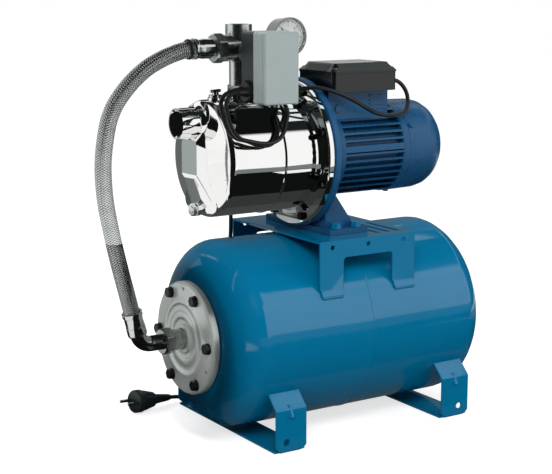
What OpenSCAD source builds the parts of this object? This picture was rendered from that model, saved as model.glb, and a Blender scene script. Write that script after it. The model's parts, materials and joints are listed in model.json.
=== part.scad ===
// Domestic booster set: a self-priming jet pump and its motor carried on a lying pressure vessel.
// X runs along the shaft, from the suction port towards the motor fan. -Y is the front.
// Z is up. The origin lies on the floor under the middle of the set.

/* [Pressure vessel] */
// Outer diameter of the vessel
tank_d = 270; // [260:1:276]
// Length of the straight shell between the domed heads
tank_straight = 345; // [335:1:360]
// Depth of each domed head
dome_depth = 62; // [58:1:64]
// Sheet thickness of the shell
tank_wall = 1.5; // [1.2:0.1:2.5]
// Gap between the shell and the floor
tank_lift = 9.5; // [8:0.5:14]
// Middle of the vessel along the shaft direction
tank_x = 59.5; // [55:0.5:64]
// Diameter of the opening in the suction-end head
tank_mouth_d = 96; // [90:1:100]
// Diameter of the neck ring welded round the opening
neck_d = 152; // [150:1:156]
// Thickness of the rubber bladder
bladder_wall = 2; // [1.5:0.1:3]
// Gap between the bladder and the shell
bladder_gap = 16; // [12:1:24]

/* [Counter-flange] */
// Diameter of the flange that closes the vessel
flange_d = 162; // [160:1:166]
// Depth of the flange rim
flange_rim = 12; // [10:0.5:14]
// Thickness of the flange plate
flange_t = 3; // [2.5:0.1:4]
// Bolt circle of the flange
flange_pcd = 139; // [136:1:140]
// Shank diameter of the flange bolts
flange_bolt_d = 8; // [6:1:8]
// Number of flange bolts
flange_bolts_n = 6; // [4:1:8]
// Radius of the outer diameter of the water socket in the middle of the flange
flange_socket_r = 21; // [20:0.5:24]

/* [Feet and console] */
// Width of the strip that the feet are bent from
foot_w = 49.5; // [45:0.5:54]
// Sheet thickness of the feet and the console
sheet_t = 3; // [2.5:0.5:4]
// Distance between the middles of the two feet
foot_pitch = 292; // [280:1:300]
// Outer width across each foot
foot_span = 280; // [276:1:284]
// Height of the upright part of a foot
foot_h = 61; // [58:1:66]
// Diameter of the fixing hole in each leg
foot_hole_d = 10.5; // [8:0.5:12]
// Height of the fixing hole above the floor
foot_hole_z = 15; // [12:1:24]
// How far the fixing hole lies outside the middle of its leg
foot_hole_out = 7.7; // [4:0.1:12]
// Length of the console
console_len = 166; // [160:1:170]
// Outer width of the console
console_span = 236; // [232:1:240]
// Height of the console's top face
console_top = 285; // [284:0.5:288]
// Middle of the console along the shaft direction
console_x = 58; // [54:0.5:62]
// Depth of the closed part of the console's skirt
skirt_h = 25; // [20:1:28]
// Width of each console leg
console_leg_w = 40; // [36:1:44]
// Diameter of the holes in the console's skirt
skirt_hole_d = 7; // [5:0.5:9]
// Distance between the holes in the skirt
skirt_hole_pitch = 61.8; // [55:0.1:64]

/* [Pump casing] */
// Height of the shaft above the floor
pump_z = 397.3; // [396:0.1:400]
// Outer diameter of the pump barrel
barrel_d = 164; // [160:1:166]
// Position of the barrel's front end
barrel_front = -142.5; // [-145:0.5:-140]
// Position of the barrel's mounting flange face
barrel_back = 5; // [4:0.5:6]
// Sheet thickness of the casing
casing_t = 2; // [1.5:0.1:2.5]
// Diameter of the rolled clamping ring
ring_d = 210; // [208:1:214]
// Thickness of the clamping ring
ring_t = 4; // [3:0.5:5]
// Bolt circle of the clamping ring
ring_pcd = 191; // [188:1:193]
// Shank diameter of the casing bolts
ring_bolt_d = 6; // [5:1:8]
// Number of casing bolts
ring_bolts_n = 8; // [6:1:8]
// Thread radius of the one-inch suction port
port_r = 15.2; // [14:0.1:16]
// Outer radius of the suction port tube
suction_r = 21.3; // [20:0.1:22]
// Height of the suction port's axis
suction_z = 448.5; // [446:0.5:450]
// Position of the suction port's mouth
suction_x = -185.2; // [-190:0.1:-182]
// Position of the discharge port along the shaft
outlet_x = -84; // [-86:0.5:-80]
// Position of the filler plug along the shaft
filler_x = -122; // [-126:0.5:-118]
// Height of the drain plug
drain_z = 327; // [326:0.5:329]

/* [Hydraulics] */
// Diameter of the shaft
shaft_d = 14; // [12:1:15]
// Running clearance of the shaft in its bearings, on the radius
shaft_play = 0.05; // [0.02:0.01:0.09]
// Diameter of the impeller
impeller_d = 118; // [110:1:122]
// Width of the impeller between its shrouds
impeller_w = 9; // [7:0.5:11]
// Number of impeller blades
blades_n = 6; // [5:1:7]
// Water space between the diffuser drum and the barrel's wall
diffuser_space = 7; // [5:0.5:10]
// Thickness of the diffuser's walls
diffuser_t = 3; // [2:0.5:4]
// Length of the ejector tube
ejector_len = 110; // [107:1:112]

/* [Motor] */
// Outer diameter over the motor fins
motor_d = 137; // [130:1:138]
// Diameter of the motor body under the fins
motor_body_d = 118; // [114:1:122]
// Bore of the motor body
motor_bore_d = 106; // [100:1:108]
// Pitch of the cooling fins
fin_pitch = 10; // [9:0.5:12]
// Thickness of a cooling fin
fin_t = 3; // [2:0.5:4]
// Diameter of the cast flange between pump and motor
bracket_d = 216; // [214:1:220]
// Front face of the cast flange
bracket_x = 8.4; // [8:0.1:9.5]
// Thickness of the cast flange
bracket_t = 12; // [10:1:14]
// Rear end of the motor body
motor_end = 160; // [156:1:164]
// Rear end of the fan cover
cover_end = 245; // [240:1:248]
// Width of the motor foot across the console
motor_foot_w = 150; // [140:1:160]
// Length of the motor foot along the shaft
motor_foot_len = 54; // [48:1:58]
// Wall of the fan cover
cover_t = 2.5; // [2:0.5:3]
// Number of fan blades
fan_blades_n = 7; // [5:1:9]

/* [Terminal box] */
// Length of the terminal box
box_len = 112; // [106:1:114]
// Depth of the terminal box
box_depth = 90; // [85:1:92]
// Underside of the terminal box
box_z = 486; // [485:0.5:488]
// Height of the box up to its lid
box_h = 26; // [24:1:30]
// Height of the lid
lid_h = 14; // [12:1:18]
// Left edge of the terminal box
box_x = 29; // [26:1:32]
// Front face of the terminal box
box_y = -70; // [-72:1:-68]
// Diameter of the running capacitor
capacitor_d = 28; // [24:1:30]

/* [Pressure switch] */
// Width of the switch housing
switch_w = 55; // [50:1:58]
// Height of the switch housing
switch_h = 97; // [90:1:100]
// Distance from the switch's pressure port down to the underside of its housing
switch_drop = 68; // [66:0.5:69]
// Left side of the switch housing
switch_x = -105; // [-107:0.5:-103]
// Depth of the base
switch_base_t = 32; // [30:1:34]
// Depth of the cover
switch_cover_t = 27; // [24:1:30]
// Rear face of the switch base
switch_back = -42; // [-43:0.5:-41]

/* [Gauge and fittings] */
// Diameter of the gauge case
gauge_d = 55; // [50:1:58]
// Depth of the gauge case
gauge_t = 26; // [22:1:30]
// Middle of the gauge along the shaft direction
gauge_x = -6; // [-8:0.5:-3]
// Distance from the fitting's top face down to the gauge's middle
gauge_drop = 19.2; // [17:0.1:22]
// Turn of the gauge needle
gauge_sweep = 270; // [240:5:300]
// Top face of the five-way fitting
fitting_top = 582; // [578:0.5:584]
// Distance from the fitting's top face down to the hose branch
branch_drop = 32.5; // [32:0.5:36]
// Outer radius of the fitting's top socket
socket_r = 18.6; // [18:0.1:20]

/* [Hose and cables] */
// Outer diameter of the braided hose
hose_d = 23; // [20:0.5:24]
// Diameter of the rubber cables
cable_d = 6; // [5.5:0.5:7]
// Turns in the put-away coil of the mains cable
coil_turns = 2; // [1:1:2]

/* [Fits] */
// Gap between pieces that touch
gap = 0.3; // [0.2:0.05:0.4]
// Radial clearance of a bolt in its hole
bolt_gap = 0.4; // [0.3:0.05:0.6]

/* [Hidden] */
$fn = 64;

vessel_blue = [0.0, 0.42, 0.60];
motor_blue = [0.16, 0.32, 0.56];
stainless = [0.80, 0.81, 0.82];
nickel = [0.70, 0.69, 0.65];
dark_plastic = [0.12, 0.14, 0.15];
cover_grey = [0.60, 0.66, 0.66];
rubber_black = [0.06, 0.06, 0.06];
brass_gold = [0.75, 0.60, 0.30];

tank_r = tank_d / 2;
tank_z = tank_lift + tank_r;
tank_left = tank_x - tank_straight / 2;
tank_right = tank_x + tank_straight / 2;
mouth_r = tank_mouth_d / 2;
dome_steps = 14;
// Where the suction-end head lies at radius r, and the face of the neck ring welded to it
function head_x(r) = tank_left - dome_depth * sqrt(1 - pow(r / tank_r, 2));
neck_x = head_x(mouth_r) - 1;
flange_face = neck_x - bladder_wall - gap - flange_t;
flange_socket_len = 16;

foot_low_y = foot_span / 2;
console_half = console_span / 2;
console_left = console_x - console_len / 2;
// Height at which a console leg meets the vessel
console_leg_z = tank_z + sqrt(pow(tank_r + 0.3, 2) - pow(console_half - sheet_t, 2));

barrel_r = barrel_d / 2;
gauge_z = fitting_top - gauge_drop;
branch_z = fitting_top - branch_drop;
port_z = fitting_top - 37;
switch_z = port_z - switch_drop;
diffuser_d = barrel_d - 2 * (casing_t + diffuser_space);
ring_bolt_angle = 22.5;
cast_back = bracket_x + bracket_t;
motor_r = motor_d / 2;
box_top = box_z + box_h;
box_right = box_x + box_len;
box_mid_y = box_y + box_depth / 2;
switch_mid_x = switch_x + switch_w / 2;
switch_mid_z = switch_z + switch_h / 2;
switch_front = switch_back - switch_base_t;
barrel_top = pump_z + barrel_r;
spigot_z = barrel_top + 18;

// Points of a quarter ellipse from the rim to the tip, as [distance along the axis, radius]
function quarter_ellipse(depth, r, steps) =
    [for (i = [0 : steps]) [depth * sin(90 * i / steps), r * cos(90 * i / steps)]];

// The same points, kept only out to a mouth of radius r_min
function dome_to(depth, r, r_min, steps) =
    let (last = acos(r_min / r))
    [for (i = [0 : steps]) [depth * sin(last * i / steps), r * cos(last * i / steps)]];

// Turns a list of [along, radius] points round a line parallel to X
module turned_x(points, z = pump_z) {
    translate([0, 0, z]) rotate([0, 90, 0])
        rotate_extrude($fn = 96) polygon([for (p = points) [p[1], p[0]]]);
}

// Round bar or washer along X between two positions
module bar_x(x0, x1, r, y = 0, z = pump_z) {
    translate([x0, y, z]) rotate([0, 90, 0]) cylinder(h = x1 - x0, r = r);
}

// Round bar along Y between two positions
module bar_y(y0, y1, r, x, z) {
    translate([x, y0, z]) rotate([-90, 0, 0]) cylinder(h = y1 - y0, r = r);
}

// Round bar along Z between two heights
module bar_z(z0, z1, r, x = 0, y = 0) {
    translate([x, y, z0]) cylinder(h = z1 - z0, r = r);
}

// Hexagon along X, measured across its flats
module hex_x(x0, x1, flats, y = 0, z = pump_z) {
    translate([x0, y, z]) rotate([0, 90, 0]) cylinder(h = x1 - x0, d = flats / cos(30), $fn = 6);
}

// Copies a feature round a line parallel to X
module around_x(n, z = pump_z, first = 0) {
    for (i = [0 : n - 1]) translate([0, 0, z]) rotate([first + i * 360 / n, 0, 0]) children();
}

// Flat plate with rounded corners, standing up from z = 0
module rounded_plate(w, d, h, r) {
    linear_extrude(height = h)
        for (box = [[w - 2 * r, d], [w, d - 2 * r]]) square(box, center = true);
    for (sx = [-1, 1]) for (sy = [-1, 1])
        translate([sx * (w / 2 - r), sy * (d / 2 - r), 0]) cylinder(h = h, r = r);
}

// Tube swept along route points: each ring faces the mean of its two neighbouring stretches
function unit(v) = v / norm(v);
function tangent_at(path, i) =
    unit(path[min(i + 1, len(path) - 1)] - path[max(i - 1, 0)]);
function side_of(t) = unit(cross(abs(t[2]) > 0.9 ? [0, 1, 0] : [0, 0, 1], t));
// Carries the side direction along the path so that the tube does not twist
function carried(path, i) =
    i == 0 ? side_of(tangent_at(path, 0))
    : let (before = carried(path, i - 1), t = tangent_at(path, i)) unit(before - (before * t) * t);

module swept_tube(path, d, sides = 8) {
    n = len(path);
    rings = [for (i = [0 : n - 1])
        let (t = tangent_at(path, i), u = carried(path, i), v = cross(t, u))
        for (k = [0 : sides - 1])
            path[i] + d / 2 * (cos(360 * k / sides) * u + sin(360 * k / sides) * v)];
    walls = [for (i = [0 : n - 2]) for (k = [0 : sides - 1])
        [i * sides + k, i * sides + (k + 1) % sides, (i + 1) * sides + (k + 1) % sides,
            (i + 1) * sides + k]];
    ends = [[for (k = [sides - 1 : -1 : 0]) k], [for (k = [0 : sides - 1]) (n - 1) * sides + k]];
    polyhedron(points = rings, convexity = 10,
        faces = [for (f = concat(walls, ends)) [for (k = [len(f) - 1 : -1 : 0]) f[k]]]);
}

// Outline of the vessel: suction-end mouth, left head, straight shell, right head
function vessel_outline(inset) = concat(
    [for (p = [for (i = [dome_steps : -1 : 0])
        dome_to(dome_depth - inset, tank_r - inset, mouth_r, dome_steps)[i]]) [tank_left - p[0], p[1]]],
    [for (p = quarter_ellipse(dome_depth - inset, tank_r - inset, dome_steps)) [tank_right + p[0], p[1]]]);

module tank_shell() color(vessel_blue) {
    outer = vessel_outline(0);
    inner = vessel_outline(tank_wall);
    difference() {
        turned_x(concat(outer, [for (i = [len(inner) - 1 : -1 : 0]) inner[i]]), tank_z);
        bar_x(tank_right, tank_right + dome_depth + 1, valve_r + gap, 0, tank_z);
    }
    difference() {
        turned_x([[neck_x, mouth_r], [neck_x, neck_d / 2 - 1], [neck_x + 1, neck_d / 2],
            [head_x(neck_d / 2) + 1, neck_d / 2], [head_x(mouth_r) + 1, mouth_r]], tank_z);
        around_x(flange_bolts_n, tank_z, flange_bolt_angle)
            bar_x(neck_x - 1, neck_x + neck_hole, flange_bolt_d / 2 + bolt_gap, 0, flange_pcd / 2);
    }
    weld_bead(tank_x);
}

weld_w = 5;
weld_h = 0.8;
// Low bead of weld round the shell
module weld_bead(x) {
    turned_x([[x - weld_w / 2, tank_r - tank_wall / 2], [x - weld_w / 3, tank_r + weld_h / 2],
        [x, tank_r + weld_h], [x + weld_w / 3, tank_r + weld_h / 2],
        [x + weld_w / 2, tank_r - tank_wall / 2]], tank_z);
}

ridge_h = 2;
// Pressed flange: rim, flat bolt land, raised rings and the threaded socket in the middle
module tank_flange() color(stainless) difference() {
    x = flange_face;
    r = flange_d / 2;
    t = flange_t;
    union() {
        turned_x([[x, 14], [x, 27], [x - ridge_h, 31], [x - ridge_h, 37], [x, 41], [x, 47],
            [x - ridge_h, 51], [x - ridge_h, 55], [x, 59], [x, r - 4], [x + 1.2, r - 1.2], [x + 4, r],
            [x + flange_rim, r], [x + flange_rim, r - 2], [x + 5, r - 2], [x + t, r - 5], [x + t, 57],
            [x + t - ridge_h, 54], [x + t - ridge_h, 52], [x + t, 49], [x + t, 39], [x + t - ridge_h, 36],
            [x + t - ridge_h, 32], [x + t, 29], [x + t, 14]], tank_z);
        bar_x(x - 4, x + flange_socket_len, flange_socket_r, 0, tank_z);
    }
    bar_x(x - 5, x + flange_socket_len + 1, nipple_r + gap, 0, tank_z);
    around_x(flange_bolts_n, tank_z, flange_bolt_angle)
        bar_x(x - 1, x + t + 1, flange_bolt_d / 2 + bolt_gap, 0, flange_pcd / 2);
    around_x(3, tank_z) bar_x(x - 1, x + t + 1, small_hole_r, 0, flange_pcd / 2 + 2);
}
flange_bolt_angle = 30;
neck_hole = 4.5;
small_hole_r = 2.5;

flange_head_flats = 13;
flange_head_h = 5.5;
module flange_bolts() color("dimgray") around_x(flange_bolts_n, tank_z, flange_bolt_angle) {
    x = flange_face - gap;
    z = flange_pcd / 2;
    bar_x(x - 1.6, x, flange_bolt_d, 0, z);
    hex_x(x - 1.6 - flange_head_h, x - 1.6, flange_head_flats, 0, z);
    bar_x(x, neck_x + neck_hole - gap, flange_bolt_d / 2, 0, z);
}

// Rubber bladder: its lip is clamped behind the flange and its body fills the vessel
lip_bead = 6;
module tank_bladder() color(rubber_black) {
    r = tank_r - bladder_gap;
    d = dome_depth - bladder_gap / 3;
    w = bladder_wall;
    lip_r = mouth_r - gap;
    out = concat([for (p = [for (i = [dome_steps : -1 : 0]) dome_to(d, r, lip_r, dome_steps)[i]])
            [tank_left + 8 - p[0], p[1]]],
        [for (p = quarter_ellipse(d, r, dome_steps)) [tank_right - 8 + p[0], p[1]]]);
    back = concat(
        [for (p = [for (i = [dome_steps : -1 : 0]) dome_to(d - w, r - w, lip_r - w, dome_steps)[i]])
            [tank_left + 8 - p[0], p[1]]],
        [for (p = quarter_ellipse(d - w, r - w, dome_steps)) [tank_right - 8 + p[0], p[1]]]);
    face = flange_face + flange_t + gap / 2;
    turned_x(concat([[face, neck_d / 2 - 12], [face + w, neck_d / 2 - 12], [face + w, lip_r]], out,
        [for (i = [len(back) - 1 : -1 : 0]) back[i]], [[face, lip_r - w]]), tank_z);
}

valve_r = 5;
valve_len = 8;
valve_tip = tank_right + dome_depth;
module air_valve() color(brass_gold) {
    bar_x(valve_tip - 12, valve_tip + valve_len, valve_r, 0, tank_z);
    bar_x(valve_tip - 10, valve_tip - tank_wall - 3, valve_r + 5, 0, tank_z);
    hex_x(valve_tip + gap, valve_tip + 3, 15, 0, tank_z);
}

cap_wall = 1.5;
cap_r = 11;
cap_end = valve_tip + 14;
module air_valve_cap() color(dark_plastic) difference() {
    turned_x([[valve_tip + 2.6, 0], [valve_tip + 2.6, cap_r], [cap_end - 3, cap_r], [cap_end, cap_r - 3],
        [cap_end, 0]], tank_z);
    bar_x(valve_tip, valve_tip + 3.4, 9.2, 0, tank_z);
    bar_x(valve_tip, cap_end - cap_wall, valve_r + gap, 0, tank_z);
}

// Extrudes an outline given as [y, z] points between two positions along X
module profile_yz(points, x0, x1) {
    translate([x0, 0, 0]) rotate([90, 0, 90]) linear_extrude(height = x1 - x0) polygon(points);
}

// How far a foot's tab, leaning in at 45 degrees, runs before it meets the vessel
lean_a = foot_low_y;
lean_b = tank_z - foot_h;
lean = (lean_a + lean_b - sqrt(pow(lean_a + lean_b, 2)
    - 2 * (pow(lean_a, 2) + pow(lean_b, 2) - pow(tank_r, 2)))) / 2;
leg_chamfer = 11;

// Bent strip: flat on the floor, two upright legs, tabs leaning in to the vessel
module foot(mid_x, out) color(vessel_blue) difference() {
    s = lean + 6;
    t = sheet_t;
    h = foot_low_y;
    half = [[-h + t, 0], [-h, t], [-h, foot_h], [-h + s, foot_h + s],
        [-h + s + t * 0.7, foot_h + s - t * 0.7], [-h + t, foot_h - 0.4 * t],
        [-h + t, t + 2], [-h + t + 2, t]];
    union() {
        profile_yz(concat(half, [for (i = [len(half) - 1 : -1 : 0]) [-half[i][0], half[i][1]]]),
            mid_x - foot_w / 2, mid_x + foot_w / 2);
        for (side = [-1, 1])
            translate([mid_x, side * (h - t), foot_h - t]) rotate([side * 22.5, 0, 0])
                translate([0, 0, -9]) cylinder(h = 18, r = 4);
    }
    bar_x(mid_x - foot_w, mid_x + foot_w, tank_r + gap, 0, tank_z);
    for (side = [-1, 1]) {
        bar_y(side * h - t - 1, side * h + t + 1, foot_hole_d / 2, mid_x + out * foot_hole_out, foot_hole_z);
        for (end = [-1, 1]) translate([mid_x + end * foot_w / 2, side * h, 0])
            rotate([0, 45, 0]) cube([leg_chamfer, 2 * t + 4, leg_chamfer], center = true);
    }
}
module foot_suction_end() foot(tank_x - foot_pitch / 2, -1);
module foot_motor_end() foot(tank_x + foot_pitch / 2, 1);

arch_r = 6;
module arch_outline(w, h) {
    square([w, h - arch_r]);
    translate([arch_r, 0]) square([w - 2 * arch_r, h]);
    for (x = [arch_r, w - arch_r]) translate([x, h - arch_r]) circle(r = arch_r);
}

// Straight slot along Y with round ends, cut through the console's top
module slot_y(x, y0, y1, r) {
    for (y = [y0 + r, y1 - r]) bar_z(console_top - sheet_t - 1, console_top + 1, r, x, y);
    translate([x - r, y0 + r, console_top - sheet_t - 1]) cube([2 * r, y1 - y0 - 2 * r, sheet_t + 2]);
}

weld_angle = asin((console_half + 1) / (tank_r + sheet_t));
weld_len = 16;
top_slot_r = 4;
// Folded bracket on the vessel: flat top, arched skirts, four legs with weld plates
module console() color(vessel_blue) {
    t = sheet_t;
    arch_w = console_len - 2 * console_leg_w;
    arch_h = console_top - skirt_h - console_leg_z + 5;
    difference() {
        union() {
            translate([console_left, -console_half, console_top - t]) cube([console_len, console_span, t]);
            for (y = [-console_half, console_half - t]) translate([console_left, y, console_leg_z])
                cube([console_len, t, console_top - console_leg_z]);
        }
        translate([console_left + console_leg_w, 0, console_leg_z - 5]) rotate([90, 0, 0])
            linear_extrude(height = console_span + 2, center = true) arch_outline(arch_w, arch_h);
        for (i = [-1 : 1])
            bar_y(-console_half - 1, console_half + 1, skirt_hole_d / 2, console_x + i * skirt_hole_pitch,
                console_top - 9.5);
        for (x = foot_bolt_x) for (y = [-foot_bolt_y, foot_bolt_y])
            bar_z(console_top - t - 1, console_top + 1, foot_bolt_d / 2 + bolt_gap, x, y);
        for (i = [0 : 2]) for (side = [-1, 1]) {
            x = console_left + console_len - 16 - i * 18;
            slot_y(x, side > 0 ? 20 : -100, side > 0 ? 100 : -20, top_slot_r);
        }
    }
    for (side = [-1, 1]) for (x = [console_left, console_left + console_len - console_leg_w])
        translate([x, 0, tank_z]) rotate([-side * weld_angle, 0, 0])
            translate([2, -weld_len / 2, tank_r + gap]) cube([console_leg_w - 4, weld_len, t]);
}

flange_back_t = 1.7;
partition_x = barrel_front + 2;
channel_x = -165;
drain_boss_x = -154.5;
port_end = -160;
// Flare where the suction tube runs into the cap, as [along, beyond the tube's radius] points
flare = [[0, 0], [4, 0.5], [7, 2], [9, 4.5], [10.5, 7], [13, 8.5], [16, 9.2]];
knuckle_r = 9;
knuckle_x = barrel_front + 5.5;
// Angle from the axis at which the shallow dome of the end cap runs into its rounded corner
knuckle_turn = 17;
dome_reach = (barrel_r - knuckle_r) / sin(knuckle_turn);
// End cap of the casing: shallow dome, then the rounded corner, set in by the sheet where inset is given
function end_cap(inset) = concat(
    [for (i = [0 : 6]) let (a = knuckle_turn * i / 6, r = dome_reach + knuckle_r - inset)
        [knuckle_x + dome_reach * cos(knuckle_turn) - r * cos(a), r * sin(a)]],
    [for (i = [1 : 8]) let (a = knuckle_turn + (90 - knuckle_turn) * i / 8, r = knuckle_r - inset)
        [knuckle_x - r * cos(a), barrel_r - knuckle_r + r * sin(a)]]);
// Outside and inside of the turned casing, as [along, radius] points
casing_out = concat(end_cap(0), [
    [barrel_back - 15, barrel_r], [barrel_back - 9, barrel_r + 1.2], [barrel_back - 5, barrel_r + 4],
    [barrel_back - 2.5, barrel_r + 8], [barrel_back - flange_back_t, barrel_r + 10],
    [barrel_back - flange_back_t, barrel_r + 18.5], [barrel_back, barrel_r + 18.5], [barrel_back, 0]]);
casing_in = concat(end_cap(casing_t), [[barrel_back + 1, barrel_r - casing_t], [barrel_back + 1, 0]]);

// Pressed channel under the suction port: a narrow flat face whose sides splay down to the cap
module channel(inset) {
    hull() {
        for (y = [-13, 13]) for (z = [pump_z - 19, suction_z - 31])
            bar_x(channel_x + inset, channel_x + inset + 1, 8 - inset, y, z, $fn = 32);
        for (p = [[17, -68.5], [34, -61.5], [26, 3], [18, 36]]) for (side = [-1, 1])
            bar_x(barrel_front - 5, barrel_front + 2, 10 - inset, side * p[0], pump_z + p[1], $fn = 32);
    }
}

module pump_casing() color(stainless) {
    difference() {
        union() {
            turned_x(casing_out);
            channel(0);
            bar_x(suction_x, barrel_front, suction_r, 0, suction_z);
            turned_x(concat([[port_end, 18]], [for (p = flare) [port_end + p[0], suction_r + p[1]]],
                [[knuckle_x - 1, suction_r + 9.2], [knuckle_x - 1, 18]]), suction_z);
            bar_z(barrel_top - 8, spigot_z - 13, 17.5, outlet_x, 0);
            bar_z(barrel_top - 8, filler_seat, 11, filler_x, 0);
            bar_x(drain_boss_x, barrel_front - 8, 9, 0, drain_z);
            turned_x([[seam_x - 2.2, barrel_r - 0.5], [seam_x - 1.3, barrel_r + 0.8],
                [seam_x, barrel_r + 1.3], [seam_x + 1.3, barrel_r + 0.8], [seam_x + 2.2, barrel_r - 0.5]]);
        }
        turned_x(casing_in);
        channel(casing_t);
        bar_x(suction_x - 1, barrel_front, port_r, 0, suction_z);
        bar_x(port_end, barrel_front, port_r + 2, 0, suction_z);
        translate([suction_x - 0.01, 0, suction_z]) rotate([0, 90, 0])
            cylinder(h = 5, r1 = suction_r - 1.6, r2 = port_r);
        bar_z(barrel_top - 20, spigot_z, spigot_r + gap, outlet_x, 0);
        bar_z(barrel_top - 20, spigot_z, filler_r + gap, filler_x, 0);
        bar_x(drain_boss_x - 1, barrel_front, drain_r + gap, 0, drain_z);
        around_x(ring_bolts_n, pump_z, ring_bolt_angle)
            bar_x(barrel_back - 4, barrel_back + 1, ring_bolt_d / 2 + bolt_gap, 0, ring_pcd / 2);
    }
    difference() {
        bar_x(partition_x, partition_x + casing_t, barrel_r - casing_t + 0.5);
        bar_x(partition_x - 1, partition_x + casing_t + 1, ejector_r + gap);
    }
}
seam_x = -57.5;
spigot_r = 12.5;
filler_r = 6;
filler_seat = barrel_top + 2.5;
drain_r = 5;

// Plug with a wing handle that is turned by hand to fill the pump
module filler_plug() color(nickel) {
    bar_z(barrel_top - 3, filler_seat + gap, filler_r, filler_x, 0);
    bar_z(filler_seat + gap, filler_seat + 3.5, 9.5, filler_x, 0);
    bar_z(filler_seat + 3.5, filler_seat + 8, 4.5, filler_x, 0);
    translate([filler_x, 0, filler_seat + 9]) rotate([0, 0, 25]) {
        cube([17, 3.5, 4], center = true);
        for (side = [-1, 1]) translate([side * 8.5, 0, -2]) cylinder(h = 4, r = 2.8);
    }
}

module drain_plug() color(nickel) {
    x = drain_boss_x - gap;
    bar_x(x - 2, x, 9.5, 0, drain_z);
    hex_x(x - 8, x - 2, 16, 0, drain_z);
    bar_x(x - 9, x - 8, 5.5, 0, drain_z);
    bar_x(x, x + 9, drain_r, 0, drain_z);
}

ring_x = -1;
ring_in_r = barrel_r + 9.7;
ring_skirt_t = 1.7;
// Clamping ring whose rim is rolled back over the pump's flange
module casing_ring() color(stainless) difference() {
    turned_x([[ring_x, ring_in_r], [ring_x, ring_d / 2 - 1.5], [ring_x + 1.5, ring_d / 2],
        [bracket_x - gap, ring_d / 2], [bracket_x - gap, ring_d / 2 - ring_skirt_t],
        [ring_x + ring_t, ring_d / 2 - ring_skirt_t], [ring_x + ring_t, ring_in_r]]);
    around_x(ring_bolts_n, pump_z, ring_bolt_angle)
        bar_x(ring_x - 1, ring_x + ring_t + 1, ring_bolt_d / 2 + bolt_gap, 0, ring_pcd / 2);
}

ring_bolt_in = 8;
module casing_bolts() color("dimgray") around_x(ring_bolts_n, pump_z, ring_bolt_angle) {
    x = ring_x - gap;
    hex_x(x - 5, x - 1, 10, 0, ring_pcd / 2);
    bar_x(x - 1, x, 6, 0, ring_pcd / 2);
    bar_x(x, bracket_x + ring_bolt_in - 1, ring_bolt_d / 2, 0, ring_pcd / 2);
}

plate_x = barrel_back + gap;
plate_t = bracket_x - gap - plate_x;
plate_r = ring_d / 2 - ring_skirt_t - 0.4;
groove_r = barrel_r + 4.2;
seat_x = -2;
seat_len = 7;
seat_r = 18.7;
// Pressed plate that closes the barrel and carries the fixed half of the shaft seal
module seal_plate() color(stainless) difference() {
    turned_x([[plate_x, plate_r], [plate_x, groove_r + 1.8], [plate_x + 1.6, groove_r + 1.8],
        [plate_x + 1.6, groove_r - 1.8], [plate_x, groove_r - 1.8], [plate_x, barrel_r - 2.6],
        [-4, barrel_r - 6], [-4, seat_r + gap], [seat_x + seat_len, seat_r + gap],
        [seat_x + seat_len, 21.5], [-1.2, 21.5], [-1.2, barrel_r - 9], [plate_x + plate_t, barrel_r - 4],
        [plate_x + plate_t, plate_r]]);
    around_x(ring_bolts_n, pump_z, ring_bolt_angle)
        bar_x(plate_x - 1, plate_x + plate_t + 1, ring_bolt_d / 2 + bolt_gap, 0, ring_pcd / 2);
}

module casing_gasket() color(rubber_black) translate([plate_x + 0.6, 0, pump_z]) rotate([0, 90, 0])
    rotate_extrude($fn = 96) translate([groove_r, 0]) circle(r = 0.8, $fn = 24);

shaft_r = shaft_d / 2;
module seal_seat() color("ivory") turned_x([[seat_x, shaft_r + 1.5], [seat_x, seat_r - 4],
    [seat_x + 1.5, seat_r], [seat_x + seat_len - 0.5, seat_r], [seat_x + seat_len - 0.5, shaft_r + 1.5]]);

seal_front = -12;
module seal_ring() color("dimgray") turned_x([[seal_front, shaft_r + 0.1], [seal_front, 13],
    [seal_front + 2, 14], [seal_front + 7, 14], [seat_x - gap, 11.5], [seat_x - gap, shaft_r + 0.1]]);

// The impeller's rear face; its shrouds, blades and neck are set out forward of it
imp_back = seal_front - gap;
shroud_t = 2.5;
hub_r = 11;
neck_r_in = 16.5;
neck_len = 8;
blade_r = 32;
blade_t = 2;
imp_blade_x = imp_back - 2 - shroud_t;
imp_front = imp_blade_x - impeller_w - shroud_t;
module impeller() color(brass_gold) {
    difference() {
        union() {
            bar_x(imp_blade_x - 6, imp_back, hub_r);
            bar_x(imp_blade_x, imp_blade_x + shroud_t, impeller_d / 2);
        }
        bar_x(imp_front - 1, imp_back + 1, shaft_r + 0.1);
    }
    turned_x([[imp_front - neck_len, neck_r_in], [imp_front - neck_len, neck_r_in + 3.5],
        [imp_front, neck_r_in + 3.5], [imp_front, impeller_d / 2], [imp_front + shroud_t, impeller_d / 2],
        [imp_front + shroud_t, neck_r_in]]);
    translate([imp_front + shroud_t - 0.2, 0, pump_z]) rotate([0, 90, 0])
        linear_extrude(height = impeller_w + 0.4)
            for (i = [0 : blades_n - 1]) rotate(i * 360 / blades_n) blade_outline();
}

// One swept-back blade: an arc from the hub to the rim
module blade_outline() intersection() {
    difference() {
        translate([blade_r - 2, 0]) circle(r = blade_r);
        translate([blade_r - 2, 0]) circle(r = blade_r - blade_t);
    }
    circle(r = impeller_d / 2 - 0.5);
    difference() {
        square([impeller_d, impeller_d / 2]);
        circle(r = hub_r - 1);
    }
}

shaft_front = imp_front - neck_len + 2;
nut_len = 8;
module impeller_nut() color("silver") difference() {
    hex_x(imp_blade_x - 6 - gap - nut_len, imp_blade_x - 6 - gap, 17);
    bar_x(imp_front - 40, imp_back, shaft_r + 0.1);
}

diffuser_front = imp_front - 30;
diffuser_wall_x = imp_front - 5;
ejector_r = 20;
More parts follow.
